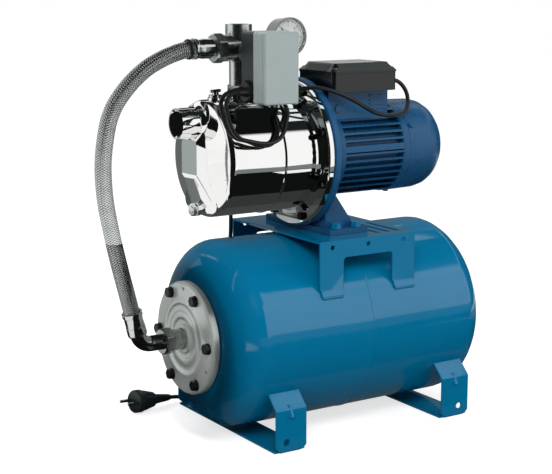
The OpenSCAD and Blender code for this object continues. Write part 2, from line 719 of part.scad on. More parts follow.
// Plastic diffuser: drum round the impeller, front wall, socket for the ejector and guide vanes
module diffuser() color("gainsboro") difference() {
    union() {
        turned_x([[diffuser_front, ejector_r + gap], [diffuser_front, ejector_r + gap + diffuser_t],
            [diffuser_wall_x - diffuser_t, ejector_r + gap + diffuser_t],
            [diffuser_wall_x - diffuser_t, diffuser_d / 2 - diffuser_t],
            [diffuser_front + 8, diffuser_d / 2 - diffuser_t], [diffuser_front + 8, diffuser_d / 2],
            [imp_back + 4, diffuser_d / 2], [imp_back + 4, diffuser_d / 2 - diffuser_t],
            [diffuser_wall_x, diffuser_d / 2 - diffuser_t], [diffuser_wall_x, neck_r_in + 3.5 + gap],
            [diffuser_wall_x - diffuser_t, neck_r_in + 3.5 + gap],
            [diffuser_wall_x - diffuser_t, ejector_r + gap]]);
        around_x(8) translate([diffuser_front + 8, -1, ejector_r + 2])
            cube([diffuser_wall_x - diffuser_front - 9, 2, diffuser_d / 2 - ejector_r - 4]);
    }
}

ejector_end = diffuser_wall_x - diffuser_t - 4;
// Venturi tube: nozzle in the suction chamber, throat, then a slowly widening tail
module ejector() color(dark_plastic) {
    x1 = ejector_end;
    x0 = x1 - ejector_len;
    turned_x([[x0, 6], [x0, 12], [partition_x - 4, ejector_r], [x0 + 22, ejector_r], [x0 + 34, 12],
        [x0 + 46, 12], [x1 - 14, ejector_r], [x1, ejector_r], [x1, 15], [x0 + 46, 8], [x0 + 34, 7],
        [x0 + 14, 13], [x0 + 6, 9]]);
}

bearing_r = 17.5;
bearing_w = 11;
front_bearing_x = cast_back + 2;
foot_bolt_d = 8;
motor_foot_x = 20.4;
foot_bolt_x = [motor_foot_x + 11, motor_foot_x + motor_foot_len - 9];
foot_bolt_y = motor_foot_w / 2 + 1;
pedestal_half = motor_foot_w / 2 - 9;
foot_plate_t = 8;
shield_x = motor_end + gap;
rear_bearing_x = motor_end - 2;
// Cast adaptor: round flange to the pump, bearing seat, spigot for the motor body and the pedestal foot
module motor_bracket() color(motor_blue) {
    base_z = console_top + gap;
    difference() {
        union() {
            turned_x([[bracket_x, 24], [bracket_x, bracket_d / 2 - 1], [bracket_x + 1, bracket_d / 2],
                [cast_back - 3, bracket_d / 2], [cast_back, bracket_d / 2 - 5], [cast_back, 54]]);
            turned_x([[bracket_x, 12], [bracket_x, 26], [cast_back, 60], [cast_back, motor_bore_d / 2 - gap],
                [cast_back + 4, motor_bore_d / 2 - gap], [cast_back + 4, motor_bore_d / 2 - 4],
                [cast_back + 1, 26], [front_bearing_x + bearing_w, 24], [front_bearing_x + bearing_w, 12]]);
            difference() {
                hull() {
                    translate([motor_foot_x, -pedestal_half, base_z])
                        cube([motor_foot_len, 2 * pedestal_half, 2]);
                    translate([cast_back - 2, -pedestal_half, base_z + 53]) cube([18, 2 * pedestal_half, 2]);
                }
                bar_x(cast_back + gap, cast_back + 80, motor_r + gap);
            }
            translate([motor_foot_x - 6, -motor_foot_w / 2 - 10, base_z])
                cube([motor_foot_len + 12, motor_foot_w + 20, foot_plate_t]);
        }
        bar_x(bracket_x - 1, cast_back, 11);
        bar_x(front_bearing_x, cast_back + 40, bearing_r + 0.05);
        for (x = foot_bolt_x) for (y = [-foot_bolt_y, foot_bolt_y]) {
            bar_z(base_z - 1, base_z + foot_plate_t + 1, foot_bolt_d / 2 + bolt_gap, x, y);
        }
        translate([cast_back + 4, 12 - pedestal_half, base_z - 1])
            cube([motor_foot_len - 32, 2 * pedestal_half - 24, 31]);
        around_x(ring_bolts_n, pump_z, ring_bolt_angle)
            bar_x(bracket_x - 1, bracket_x + ring_bolt_in, ring_bolt_d / 2 + bolt_gap, 0, ring_pcd / 2);
    }
}

frame_front = cast_back + gap;
front_band = 33;
rear_band = 2;
fins_n = 6;
pad_x = 36;
pad_y = -48;
pad_z = 442;
pad_len = 105;
pad_depth = 62;
pad_top = box_z - gap;
mid_rib_t = 9;
// Die-cast motor body: plain bands at both ends, fins between them and a raised pad for the box
module motor_frame() color(motor_blue) difference() {
    union() {
        bar_x(frame_front, motor_end, motor_body_d / 2);
        bar_x(frame_front, frame_front + front_band, motor_r);
        bar_x(motor_end - rear_band, motor_end, motor_r);
        intersection() {
            bar_x(frame_front + 1, motor_end - 1, motor_r);
            union() {
                for (i = [-fins_n : fins_n])
                    translate([frame_front + 2, -motor_r, pump_z + (i - 0.2) * fin_pitch - fin_t / 2])
                        cube([motor_end - frame_front - 4, motor_d, fin_t]);
                translate([frame_front + 2, -motor_r, pump_z + 6 - mid_rib_t / 2])
                    cube([motor_end - frame_front - 4, motor_d, mid_rib_t]);
            }
        }
        translate([pad_x, pad_y, pad_z]) cube([pad_len, pad_depth, pad_top - pad_z]);
        bar_y(pad_y - 2, pad_y + 1, 6, pad_x + 17, pad_z + 19);
        for (i = [0 : 3])
            translate([pad_x + 72, pad_y - 1.5, pad_z + 16 + i * 6]) cube([34 - i * 4, 2, 2.5]);
    }
    bar_x(frame_front - 1, motor_end + 1, motor_bore_d / 2);
    translate([pad_x + 12, pad_y + 8, pad_top - 12]) cube([pad_len - 24, pad_depth - 16, 13]);
}

core_x = 58;
core_len = 72;
core_bore_r = 36;
air_gap = 0.5;
module stator_core() color("dimgray") difference() {
    bar_x(core_x, core_x + core_len, motor_bore_d / 2 - 0.1);
    bar_x(core_x - 1, core_x + core_len + 1, core_bore_r);
}

module stator_windings() color("peru") for (x = [core_x - gap - 15, core_x + core_len + gap])
    turned_x([[x, core_bore_r + 6], [x + 2, core_bore_r + 3], [x + 13, core_bore_r + 3],
        [x + 15, core_bore_r + 5], [x + 15, motor_bore_d / 2 - 3], [x + 12, motor_bore_d / 2 - 1.5],
        [x + 3, motor_bore_d / 2 - 1.5], [x, motor_bore_d / 2 - 4]]);

module rotor() color("silver") difference() {
    union() {
        bar_x(core_x, core_x + core_len, core_bore_r - air_gap);
        for (x = [core_x - 6, core_x + core_len]) bar_x(x, x + 6, core_bore_r - 4);
    }
    bar_x(core_x - 7, core_x + core_len + 7, shaft_r + 2.1);
}

shaft_end = cover_end - 33;
module motor_shaft() color("silver") turned_x([[shaft_front, 0], [shaft_front, shaft_r - 1],
    [shaft_front + 1, shaft_r], [front_bearing_x + bearing_w + 1, shaft_r],
    [front_bearing_x + bearing_w + 2, shaft_r + 2], [rear_bearing_x - 2, shaft_r + 2],
    [rear_bearing_x - 1, shaft_r], [shaft_end - 1, shaft_r], [shaft_end, shaft_r - 1], [shaft_end, 0]]);

// Sealed ball bearing: two rings with recessed shields between them
module bearing(x) color("silver") {
    r_in = shaft_r + shaft_play;
    turned_x([[x, r_in], [x, r_in + 2.5], [x + 0.6, r_in + 3], [x + 0.6, bearing_r - 3],
        [x, bearing_r - 2.5], [x, bearing_r], [x + bearing_w, bearing_r], [x + bearing_w, bearing_r - 2.5],
        [x + bearing_w - 0.6, bearing_r - 3], [x + bearing_w - 0.6, r_in + 3], [x + bearing_w, r_in + 2.5],
        [x + bearing_w, r_in]]);
}
module front_bearing() bearing(front_bearing_x);
module rear_bearing() bearing(rear_bearing_x);

shield_end = shield_x + 9.7;
shield_lip = 12;
shield_lip_r = motor_r - cover_t - 1 - gap;
module rear_shield() color(motor_blue) difference() {
    shield_body();
    around_x(3, pump_z, 60) translate([cover_x + 6, 0, shield_lip_r - 5]) cylinder(h = 8, r = screw_r + 0.1);
}
module shield_body() turned_x([[motor_end - 3, motor_bore_d / 2 - gap],
    [shield_x, motor_bore_d / 2 - gap], [shield_x, motor_r], [shield_end, motor_r],
    [shield_end, shield_lip_r], [shield_end + shield_lip, shield_lip_r],
    [shield_end + shield_lip, shield_lip_r - 4], [shield_end - 5, shield_lip_r - 4], [shield_end - 5, 24],
    [shield_end + 1, 22], [shield_end + 1, 12], [rear_bearing_x + bearing_w, 12],
    [rear_bearing_x + bearing_w, bearing_r + 0.05], [rear_bearing_x, bearing_r + 0.05],
    [rear_bearing_x, 22], [shield_x, 24], [shield_x, motor_bore_d / 2 - 4],
    [motor_end - 3, motor_bore_d / 2 - 4]]);

fan_x = shield_end + 12;
fan_w = 18;
fan_r = 54;
module cooling_fan() color(dark_plastic) difference() {
    union() {
        turned_x([[fan_x, 0], [fan_x, fan_r], [fan_x + 2, fan_r], [fan_x + 4, 20], [fan_x + fan_w, 13],
            [fan_x + fan_w, 0]]);
        around_x(fan_blades_n) translate([fan_x + 1, -1, 12]) cube([fan_w - 1, 2, fan_r - 13]);
    }
    bar_x(fan_x - 1, fan_x + fan_w + 1, shaft_r + 0.1);
}

cover_x = shield_end + gap;
grille_r = 44;
// Domed fan cover with ring slots in its end
module fan_cover() color(motor_blue) difference() {
    r = motor_r;
    e = cover_end;
    c = cover_t;
    turned_x([[cover_x, r - c - 1], [cover_x, r], [e - 34, r - 1], [e - 22, r - 3.5], [e - 13, r - 8.5],
        [e - 6, r - 15.5], [e - 2, r - 23], [e, 38], [e, 0], [e - c, 0], [e - c, 37], [e - 2 - c, r - 25],
        [e - 7 - c, r - 18], [e - 14 - c, r - 11], [e - 23 - c, r - 6], [e - 35, r - c - 1]]);
    difference() {
        for (i = [0 : 3]) turned_x([[e - 8, grille_r - i * 9], [e + 1, grille_r - i * 9],
            [e + 1, grille_r - i * 9 - 4], [e - 8, grille_r - i * 9 - 4]]);
        around_x(3) translate([e - 10, -motor_r, -3]) cube([20, motor_d, 6]);
    }
    around_x(3, pump_z, 60) translate([cover_x + 6, 0, r - 6]) cylinder(h = 8, r = screw_r + bolt_gap);
}

screw_r = 2;
module fan_cover_screws() color("silver") around_x(3, pump_z, 60) translate([cover_x + 6, 0, 0]) {
    translate([0, 0, motor_r + gap]) cylinder(h = 2.5, r = 4);
    translate([0, 0, shield_lip_r - 3.5]) cylinder(h = motor_r - shield_lip_r + 4, r = screw_r);
}

wall_t = 2.5;
box_r = 6;
gland_hole_r = 8;
gland_y = -36;
gland_z = box_z + 12;
// Deep tray for the capacitor and the terminals, with rounded corners and lid posts
module terminal_box() color(dark_plastic) difference() {
    translate([box_x + box_len / 2, box_mid_y, box_z]) difference() {
        rounded_plate(box_len, box_depth, box_h, box_r);
        difference() {
            translate([0, 0, wall_t])
                rounded_plate(box_len - 2 * wall_t, box_depth - 2 * wall_t, box_h, box_r - wall_t);
            for (p = lid_posts) translate([p[0], p[1], 0]) cylinder(h = box_h - 1, r = 4.5);
        }
    }
    bar_x(box_right - 5, box_right + 1, gland_hole_r + gap, gland_y, gland_z);
    bar_z(box_z - 1, box_z + wall_t + 1, 11, box_x + 60, box_mid_y);
    for (p = lid_posts)
        bar_z(box_z + 8, box_top + 1, screw_r + bolt_gap, box_x + box_len / 2 + p[0], box_mid_y + p[1]);
}
lid_posts = [for (sx = [-1, 1]) for (sy = [-1, 1]) [sx * (box_len / 2 - 7.5), sy * (box_depth / 2 - 7.5)]];

lid_z = box_top + gap;
lid_lip = 1;
lid_edge = 3;
lid_bevel = lid_h - lid_edge;
ribs_n = 9;
// Lid with wide bevels all round and a row of ribs on its left bevel
module terminal_box_lid() color(dark_plastic) difference() {
    translate([box_x + box_len / 2, box_mid_y, lid_z]) difference() {
        union() {
            hull() {
                rounded_plate(box_len + 2 * lid_lip, box_depth + 2 * lid_lip, lid_edge, box_r + 1);
                rounded_plate(box_len + 2 * lid_lip - 2 * lid_bevel, box_depth + 2 * lid_lip - 2 * lid_bevel,
                    lid_h, 3);
            }
            for (i = [0 : ribs_n - 1])
                translate([-box_len / 2 - lid_lip, (i - (ribs_n - 1) / 2) * 6.2 + 1.2, 0]) rotate([90, 0, 0])
                    linear_extrude(height = 2.4) polygon([[-0.8, 0], [-0.8, lid_edge + 0.3],
                        [lid_bevel - 2.4, lid_h - 1.2], [lid_bevel - 1, lid_h - 2], [2, 0]]);
        }
        translate([0, 0, -1]) rounded_plate(box_len - 22, box_depth - 22, lid_h - 1.5, 3);
    }
    for (p = lid_posts) translate([box_x + box_len / 2 + p[0], box_mid_y + p[1], 0]) {
        bar_z(lid_z - 1, lid_z + lid_h, screw_r + bolt_gap);
        bar_z(lid_z + lid_h - 8.5, lid_z + lid_h + 1, 4.4);
    }
}

module lid_screws() color("silver") for (p = lid_posts)
    translate([box_x + box_len / 2 + p[0], box_mid_y + p[1], 0]) {
        bar_z(lid_z + lid_h - 8.5 + 0.1, lid_z + lid_h - 6.2, 3.8);
        bar_z(box_z + 12, lid_z + lid_h - 7, screw_r);
    }

capacitor_len = 72;
module capacitor() color("ivory") {
    z = box_z + wall_t + gap + capacitor_d / 2;
    x = box_x + 17;
    y = box_y + box_depth - wall_t - capacitor_d / 2 - 11.5;
    turned_at([[x, 0], [x, capacitor_d / 2 - 1], [x + 1, capacitor_d / 2],
        [x + capacitor_len, capacitor_d / 2], [x + capacitor_len + 1, capacitor_d / 2 - 1],
        [x + capacitor_len + 1, 0]], y, z);
    for (dy = [-4, 4]) translate([x - 7, y + dy - 0.4, z - 3]) cube([7.5, 0.8, 6]);
}
module turned_at(points, y, z) { translate([0, y, 0]) turned_x(points, z); }

module terminal_block() color("ivory") difference() {
    x = box_x + 26;
    y = box_y + wall_t + 4;
    union() {
        translate([x, y, box_z + wall_t + gap]) cube([48, 14, 6]);
        for (i = [0 : 3]) translate([x + 1 + i * 12, y + 1, box_z + wall_t + 5]) cube([10, 12, 9]);
    }
    for (i = [0 : 3]) bar_z(box_z + 12, box_z + 20, 2.6, x + 6 + i * 12, y + 7);
}

gland_end = box_right + 14;
module motor_gland() color(dark_plastic) difference() {
    union() {
        bar_x(box_right - wall_t - 5, box_right + gap, gland_hole_r, gland_y, gland_z);
        hex_x(box_right + gap, box_right + 6, 20, gland_y, gland_z);
        turned_at([[box_right + 6, 0], [box_right + 6, 9.5], [box_right + 12, 9], [gland_end, 6],
            [gland_end, 0]], gland_y, gland_z);
    }
    bar_x(box_right - 10, gland_end + 1, cable_d / 2 + gap / 2, gland_y, gland_z);
}

module foot_bolts() color("silver") for (x = foot_bolt_x) for (y = [-foot_bolt_y, foot_bolt_y]) {
    z = console_top + gap + foot_plate_t + gap;
    bar_z(z, z + 1.6, 8, x, y);
    translate([x, y, z + 1.6]) cylinder(h = 5.5, d = 13 / cos(30), $fn = 6);
    bar_z(console_top - sheet_t - 12, z + 0.1, foot_bolt_d / 2, x, y);
    translate([x, y, console_top - sheet_t - gap - 6.5]) cylinder(h = 6.5, d = 13 / cos(30), $fn = 6);
}

// Outline of the switch housing standing in the XZ plane, as a plate with rounded corners
module switch_plate(y0, y1, grow, r) {
    translate([switch_mid_x, y1, switch_mid_z]) rotate([90, 0, 0])
        rounded_plate(switch_w + 2 * grow, switch_h + 2 * grow, y1 - y0, r);
}

port_x = outlet_x;
diaphragm_r = 20;
switch_nut_y = switch_back + 21.7;
spring_spots = [[port_x, port_z, 7.5], [switch_mid_x + 14, port_z - 28, 4.5]];
grommet_y = switch_back - 16;
grommet_z = switch_z + 16;
grommet_r = 15.5;
nipple_pitch = 14;
base_wall = 2.5;
// Switch base: tray for the mechanism, diaphragm housing and swivel nut behind it
module switch_base() color(dark_plastic) {
    difference() {
        union() {
            switch_plate(switch_front, switch_back, 0, 4);
            bar_y(switch_back - 1, switch_back + 10, diaphragm_r, port_x, port_z);
            bar_y(switch_back + 9, switch_back + 12, 9, port_x, port_z);
        }
        switch_plate(switch_front - 1, switch_back - base_wall, -base_wall, 2);
        bar_y(switch_back + 1, switch_nut_y + 1, stub_r + gap, port_x, port_z);
        for (side = [-0.5, 0.5])
            bar_x(switch_x - 1, switch_x + 6, cable_d / 2 + 0.5, grommet_y + side * nipple_pitch, grommet_z);
    }
    for (s = spring_spots) bar_y(switch_front + 1.5, switch_back - 1, 2, s[0], s[1]);
    difference() {
        translate([port_x, switch_back + 11.5, port_z]) rotate([-90, 0, 0])
            cylinder(h = switch_nut_y - switch_back - 11.5, d = 17 / cos(30), $fn = 6);
        bar_y(switch_back + 11, switch_nut_y + 1, stub_r + gap, port_x, port_z);
    }
}
stub_r = 5;

cover_wall = 2;
cover_back = switch_front - gap;
cover_front = cover_back - switch_cover_t;
// Switch cover: box with rounded edges and a stepped lip where it meets the base
module switch_cover() color(cover_grey) difference() {
    union() {
        switch_plate(cover_back - 5, cover_back, 1, 5);
        switch_plate(cover_front + 6, cover_back, 0, 4);
        switch_plate(cover_front + 1.5, cover_front + 4.5, 0, 4);
        switch_plate(cover_front, cover_back, -1.5, 3);
    }
    switch_plate(cover_front + cover_wall + 1, cover_back + 1, -cover_wall - 1, 2);
    bar_z(switch_z - 2, switch_z + cover_wall + 2, screw_r + bolt_gap, switch_mid_x, cover_screw_y);
}
cover_screw_y = cover_back - 14;

module switch_cover_screw() color("silver") {
    bar_z(switch_z - 4.5, switch_z - gap, 4.5, switch_mid_x, cover_screw_y);
    bar_z(switch_z - gap, switch_z + 14, screw_r, switch_mid_x, cover_screw_y);
}

lever_y = switch_back - base_wall - 6;
lever_t = 2;
lever_low = switch_z + 12;
module switch_lever() color("silver") difference() {
    union() {
        translate([switch_mid_x - 21, lever_y - lever_t, lever_low]) cube([42, lever_t, switch_h - 26]);
        bar_x(switch_x + base_wall + gap, switch_x + switch_w - base_wall - gap, 2.4,
            lever_y - lever_t / 2, lever_low);
    }
    for (s = spring_spots) bar_y(lever_y - 5, lever_y + 5, 3, s[0], s[1]);
}

spring_wire = 1.2;
spring_turns = 9;
module switch_springs() color("silver") for (s = spring_spots) {
    y0 = lever_y - lever_t - gap - spring_wire;
    pitch = (y0 - switch_front - 6) / (spring_turns - 1);
    for (i = [0 : spring_turns - 1]) translate([s[0], y0 - i * pitch, s[1]]) rotate([90, 0, 0])
        rotate_extrude() translate([s[2], 0]) circle(r = spring_wire, $fn = 16);
    translate([s[0], y0 - (spring_turns - 1) * pitch - spring_wire - 1.8, s[1]]) rotate([-90, 0, 0])
        difference() {
            cylinder(h = 2, r = s[2] + 2);
            translate([0, 0, -1]) cylinder(h = 4, r = 2 + gap);
        }
}

contact_x = switch_x + 12;
module contact_block() color("ivory") difference() {
    union() {
        translate([contact_x, switch_front + 4, switch_z + base_wall + gap]) cube([32, 14, 7]);
        for (i = [0 : 3]) translate([contact_x + i * 8.2, switch_front + 4, switch_z + base_wall + gap])
            cube([7, 14, 9]);
    }
    for (i = [0 : 3]) bar_z(switch_z + 8, switch_z + 20, 2, contact_x + 3.5 + i * 8.2, switch_front + 9);
}

grommet_end = switch_x - 20;
// Round grommet in the side of the base with a tapered nipple for each cable
module switch_glands() color(rubber_black) difference() {
    union() {
        turned_at([[switch_x - gap - 5, 0], [switch_x - gap - 5, grommet_r - 2],
            [switch_x - gap - 3, grommet_r], [switch_x - gap, grommet_r], [switch_x - gap, 0]],
            grommet_y, grommet_z);
        for (side = [-0.5, 0.5]) turned_at([[grommet_end, 0], [grommet_end, 4.3], [switch_x - 5, 6.8],
            [switch_x - 5, 0]], grommet_y + side * nipple_pitch, grommet_z);
    }
    for (side = [-0.5, 0.5]) bar_x(grommet_end - 1, switch_x + 1, cable_d / 2 + gap / 2,
        grommet_y + side * nipple_pitch, grommet_z);
}

body_r = 17.5;
collar_z = spigot_z - 12.7;
stub_y = -20;
branch_end = -111;
branch_thread_r = 16.2;
thread_len = 10;
// Nickel-plated fitting: top socket, hose branch, stub for the switch, stub for the gauge, spigot below
module five_way_fitting() color(nickel) difference() {
    union() {
        bar_z(barrel_top - 7, collar_z + 1, spigot_r, outlet_x, 0);
        translate([outlet_x, 0, collar_z]) cylinder(h = spigot_z - collar_z, d = 32 / cos(30), $fn = 6);
        bar_z(collar_z, branch_z, 13.5, outlet_x, 0);
        bar_z(branch_z - 18, gauge_z + 4, body_r, outlet_x, 0);
        bar_z(fitting_top - 20, fitting_top, socket_r, outlet_x, 0);
        bar_x(branch_end, outlet_x, socket_r, 0, branch_z);
        bar_x(branch_end - thread_len, branch_end, branch_thread_r, 0, branch_z);
        bar_y(stub_y, 0, 8.5, port_x, port_z);
        bar_y(switch_back + 13, stub_y + 1, stub_r, port_x, port_z);
        bar_x(outlet_x, outlet_x + 25, 9, 0, gauge_z);
    }
    bar_z(barrel_top - 8, fitting_top - 15, 9.5, outlet_x, 0);
    bar_z(fitting_top - 16, fitting_top + 1, port_r, outlet_x, 0);
    translate([outlet_x, 0, fitting_top - 1.5]) cylinder(h = 1.6, r1 = port_r, r2 = port_r + 1.6);
    bar_x(branch_end - thread_len - 1, outlet_x, 11, 0, branch_z);
    bar_y(switch_back + 12, 0, 2, port_x, port_z);
    bar_x(outlet_x, outlet_x + 26, stub_r + gap, 0, gauge_z);
}

gauge_front = -gauge_t / 2;
gauge_r = gauge_d / 2;
bezel_t = 2;
dial_y = gauge_front + 7;
spindle_r = 1.5;
// Gauge case with its bezel, the dial face, the spindle seat and the stub that screws into the fitting
module gauge_case() color("silver") {
    difference() {
        union() {
            bar_y(gauge_front + 5, -gauge_front, gauge_r - 1.5, gauge_x, gauge_z);
            bar_y(gauge_front, gauge_front + 8, gauge_r, gauge_x, gauge_z);
        }
        bar_y(gauge_front - 1, dial_y, gauge_r - bezel_t, gauge_x, gauge_z);
        bar_y(gauge_front, dial_y + 6, spindle_r + 0.05, gauge_x, gauge_z);
    }
    bar_x(outlet_x + 16, outlet_x + 26, stub_r, 0, gauge_z);
    hex_x(outlet_x + 25 + gap, outlet_x + 36, 14, 0, gauge_z);
    bar_x(outlet_x + 35, gauge_x - gauge_r + 4, 5.5, 0, gauge_z);
}

// The needle rests at zero, half of its turn away from the side that faces away from the stem
needle_rest = gauge_sweep / 2;
module gauge_needle() color("black") {
    bar_y(dial_y - 3.4, dial_y + 5, spindle_r, gauge_x, gauge_z);
    bar_y(dial_y - 3.4, dial_y - 1.6, 3, gauge_x, gauge_z);
    translate([gauge_x, dial_y - 2, gauge_z]) rotate([0, -needle_rest, 0]) rotate([90, 0, 0])
        linear_extrude(height = 0.8) polygon([[-7, -1.4], [0, -1.1], [gauge_r - 9, -0.3], [gauge_r - 8, 0],
            [gauge_r - 9, 0.3], [0, 1.1], [-7, 1.4]]);
}

module gauge_lens() color([0.9, 0.95, 0.95, 0.4])
    bar_y(gauge_front + 0.8, gauge_front + 2.4, gauge_r - bezel_t - 0.1, gauge_x, gauge_z);

hose_r = hose_d / 2;
ferrule_r = 13.8;
ferrule_len = 32;
tail_x = branch_end - thread_len - gap;
upper_end_x = tail_x - 4 - ferrule_len;
elbow_bend = 20;
elbow_turn = 75;
elbow_x = -230;
elbow_r = 11;
nipple_r = 15;
lower_nut_x = -213.5;
lower_nut_len = 15.5;
// Crimped hose ends: straight one above, elbow below, and the nipple that joins it to the vessel
module hose_ends() color(nickel) {
    turned_x([[upper_end_x, hose_r + gap], [upper_end_x, ferrule_r + 0.8],
        [upper_end_x + 4, ferrule_r + 0.8], [upper_end_x + 5, ferrule_r - 0.6],
        [upper_end_x + 12, ferrule_r - 0.6], [upper_end_x + 13, ferrule_r],
        [tail_x - 7, ferrule_r], [tail_x - 5, ferrule_r - 3.5], [tail_x - 2.5, ferrule_r - 3.5],
        [tail_x - 2.5, branch_thread_r - 0.6], [tail_x, branch_thread_r - 0.6], [tail_x, 7],
        [upper_end_x + 10, 7], [upper_end_x + 10, hose_r + gap]], branch_z);
    translate([elbow_x, 0, tank_z + elbow_bend]) rotate([90, 0, 0]) rotate([0, 0, 270 - elbow_turn]) {
        rotate_extrude(angle = elbow_turn) translate([elbow_bend, 0]) difference() {
            circle(r = elbow_r);
            circle(r = elbow_r - 4);
        }
        translate([elbow_bend, 0, 0]) rotate([90, 0, 0]) difference() {
            union() {
                cylinder(h = ferrule_len + 3, r = ferrule_r - 0.6);
                translate([0, 0, 2]) cylinder(h = 12, r = ferrule_r);
                translate([0, 0, ferrule_len - 3]) cylinder(h = 6, r = ferrule_r + 0.8);
            }
            translate([0, 0, -1]) cylinder(h = ferrule_len, r = elbow_r - 4);
            translate([0, 0, ferrule_len - 6]) cylinder(h = 10, r = hose_r + gap);
        }
    }
    turned_x([[elbow_x, elbow_r - 4], [elbow_x, elbow_r], [lower_nut_x + 2.5, elbow_r],
        [lower_nut_x + 2.5, nipple_r - 0.5], [lower_nut_x + 5, nipple_r - 0.5],
        [lower_nut_x + 5, elbow_r - 4]], tank_z);
    turned_x([[lower_nut_x + 5 + gap, 9], [lower_nut_x + 5 + gap, nipple_r],
        [flange_face + 10, nipple_r], [flange_face + 10, 9]], tank_z);
}

// Hexagon nut along X that holds a tail of radius tail_r and screws on a thread of radius thread_r
module union_nut(x0, x1, flats, tail_side, tail_r, thread_r, z) color(nickel) difference() {
    intersection() {
        hex_x(x0, x1, flats, 0, z);
        turned_x([[x0, 0], [x0, flats / 2], [x0 + 2, flats / 2 + 2], [x1 - 2, flats / 2 + 2],
            [x1, flats / 2], [x1, 0]], z);
    }
    bar_x(x0 - 1, x1 + 1, tail_r, 0, z);
    bar_x(tail_side + 2.2, x1 + 1, thread_r, 0, z);
}
module upper_hose_nut() union_nut(tail_x - 4.9, branch_end - gap, 37, tail_x - 4.9, ferrule_r - 3.5 + gap,
    branch_thread_r + gap, branch_z);
module lower_hose_nut() union_nut(lower_nut_x, lower_nut_x + lower_nut_len, 34, lower_nut_x, elbow_r + gap,
    nipple_r + gap, tank_z);

// Middle line of the braided hose, from the upper ferrule to the lower one
hose_route = [[-150, 0, 549.5], [-160, 0, 549.2], [-172, 0, 547.7], [-187, 0, 543.8], [-206, 0, 537],
    [-228, 0, 526], [-248, 0, 511], [-264, 0, 495], [-277, 0, 478], [-286, 0, 459], [-292, 0, 434],
    [-296, 0, 404], [-296, 0, 374], [-293, 0, 343], [-287, 0, 311], [-280, 0, 279], [-273, 0, 250],
    [-265, 0, 219], [-258.9, 0, 195.1], [-256.5, 0, 186.2]];
module hose() color("lightslategray") swept_tube(hose_route, hose_d, 12);

// Middle line of the lead from the motor to the switch
motor_cable_route = [[148, -36, 498], [156, -36, 498], [168, -37.5, 494.8], [176.8, -40.5, 486],
    [180, -45, 474], [176.8, -50, 462], [168, -55.5, 453.2], [156, -60, 450], [143, -63.5, 449.3],
    [129, -66.5, 449.5], [114, -69.5, 451.5], [98, -73, 456], [78, -77, 465], [56, -79, 476],
    [30, -78, 487], [4, -70, 494],
    [-17, -59, 493], [-32, -51, 487], [-41, -48.5, 479.5], [-49, -50, 472.3], [-57, -55, 466],
    [-63, -61, 459.5], [-66, -67, 452], [-68.5, -75.5, 441], [-74.5, -82.5, 430.5], [-84.5, -87, 423.5],
    [-98, -89, 421.5], [-112, -88.5, 424.5], [-126, -86.5, 430], [-138, -83.5, 433.2],
    [-146.8, -79, 442], [-150, -72.5, 454], [-150, -64, 469], [-146.8, -57.5, 481], [-138, -53, 489.8],
    [-126, -51, 493], [-103, -51, 493]];
module motor_cable() color(rubber_black) swept_tube(motor_cable_route, cable_d);

// Middle line of the mains cable from the switch, over the barrel and down behind to the coil
mains_route = [[-103, -65, 493], [-126, -65, 493], [-138, -67, 489.8], [-146.8, -71.5, 481],
    [-150, -78, 469], [-150, -86, 454], [-146.8, -92, 442], [-138, -96, 433.2], [-126, -98.5, 430],
    [-110, -99.5, 426.5], [-94, -99, 426], [-78, -95, 430], [-66, -88, 438], [-57, -79, 448],
    [-47, -68, 458], [-39, -54, 466], [-36, -37, 476], [-35, -18, 482], [-36, 2, 484], [-36, 22, 481.5],
    [-37, 42, 473], [-38, 60, 460], [-39, 75, 443.5], [-40, 85, 422], [-40, 90, 398], [-40, 93, 372],
    [-40, 95, 346], [-40, 97, 320], [-40, 98, 294], [-40, 99, 268], [-40, 103, 246], [-40, 112, 228],
    [-41, 123, 210], [-41, 132, 190], [-42, 138, 168], [-43, 140, 144], [-44, 141, 118], [-45, 142, 92],
    [-46, 143, 66], [-46, 145, 43], [-45, 150, 24], [-42, 159, 12.5], [-36, 171, 6], [-28, 184, 3.5],
    [-21, 197, 3.5]];
// From the coil along the floor to the plug
plug_route = [[14.5, 170, 9.5], [0, 169, 9], [-16, 166, 7], [-34, 160.5, 4.5], [-56, 155.5, 3.5],
    [-78, 152, 4], [-96, 150, 5.8], [-110, 149, 8], [-122.5, 147, 10.1]];
module mains_cable() color(rubber_black) {
    swept_tube(mains_route, cable_d);
    swept_tube(plug_route, cable_d);
}

coil_x = 14.5;
coil_y = 203;
coil_mid_r = 5.5 * cable_d;
// Turns of the put-away cable, one on the other
module mains_coil() color(rubber_black) translate([coil_x, coil_y, cable_d / 2 + 0.5]) rotate_extrude() {
    for (i = [0 : coil_turns - 1]) translate([coil_mid_r, i * cable_d]) circle(r = cable_d / 2);
    translate([coil_mid_r - cable_d / 2, 0]) square([cable_d, (coil_turns - 1) * cable_d + 0.01]);
}

plug_r = 17.5;
plug_at = [-191, 133, plug_r + 0.6];
plug_turn = 11.5;
plug_tilt = 6.5;
// Moulded two-pin plug lying on the floor, with a tapered sleeve for the cable
module mains_plug() color(dark_plastic) translate(plug_at) rotate([0, plug_tilt, plug_turn]) {
    rotate([0, 90, 0]) rotate_extrude() polygon([[0, 0], [plug_r - 1, 0], [plug_r, 1.5], [plug_r, 12],
        [plug_r - 2.5, 20], [plug_r - 5, 33], [8, 40], [6.2, 44], [4.6, 70], [0, 70]]);
    for (y = [-9.5, 9.5]) translate([-19, y, 0]) rotate([0, 90, 0]) cylinder(h = 20, r = 2.4);
}

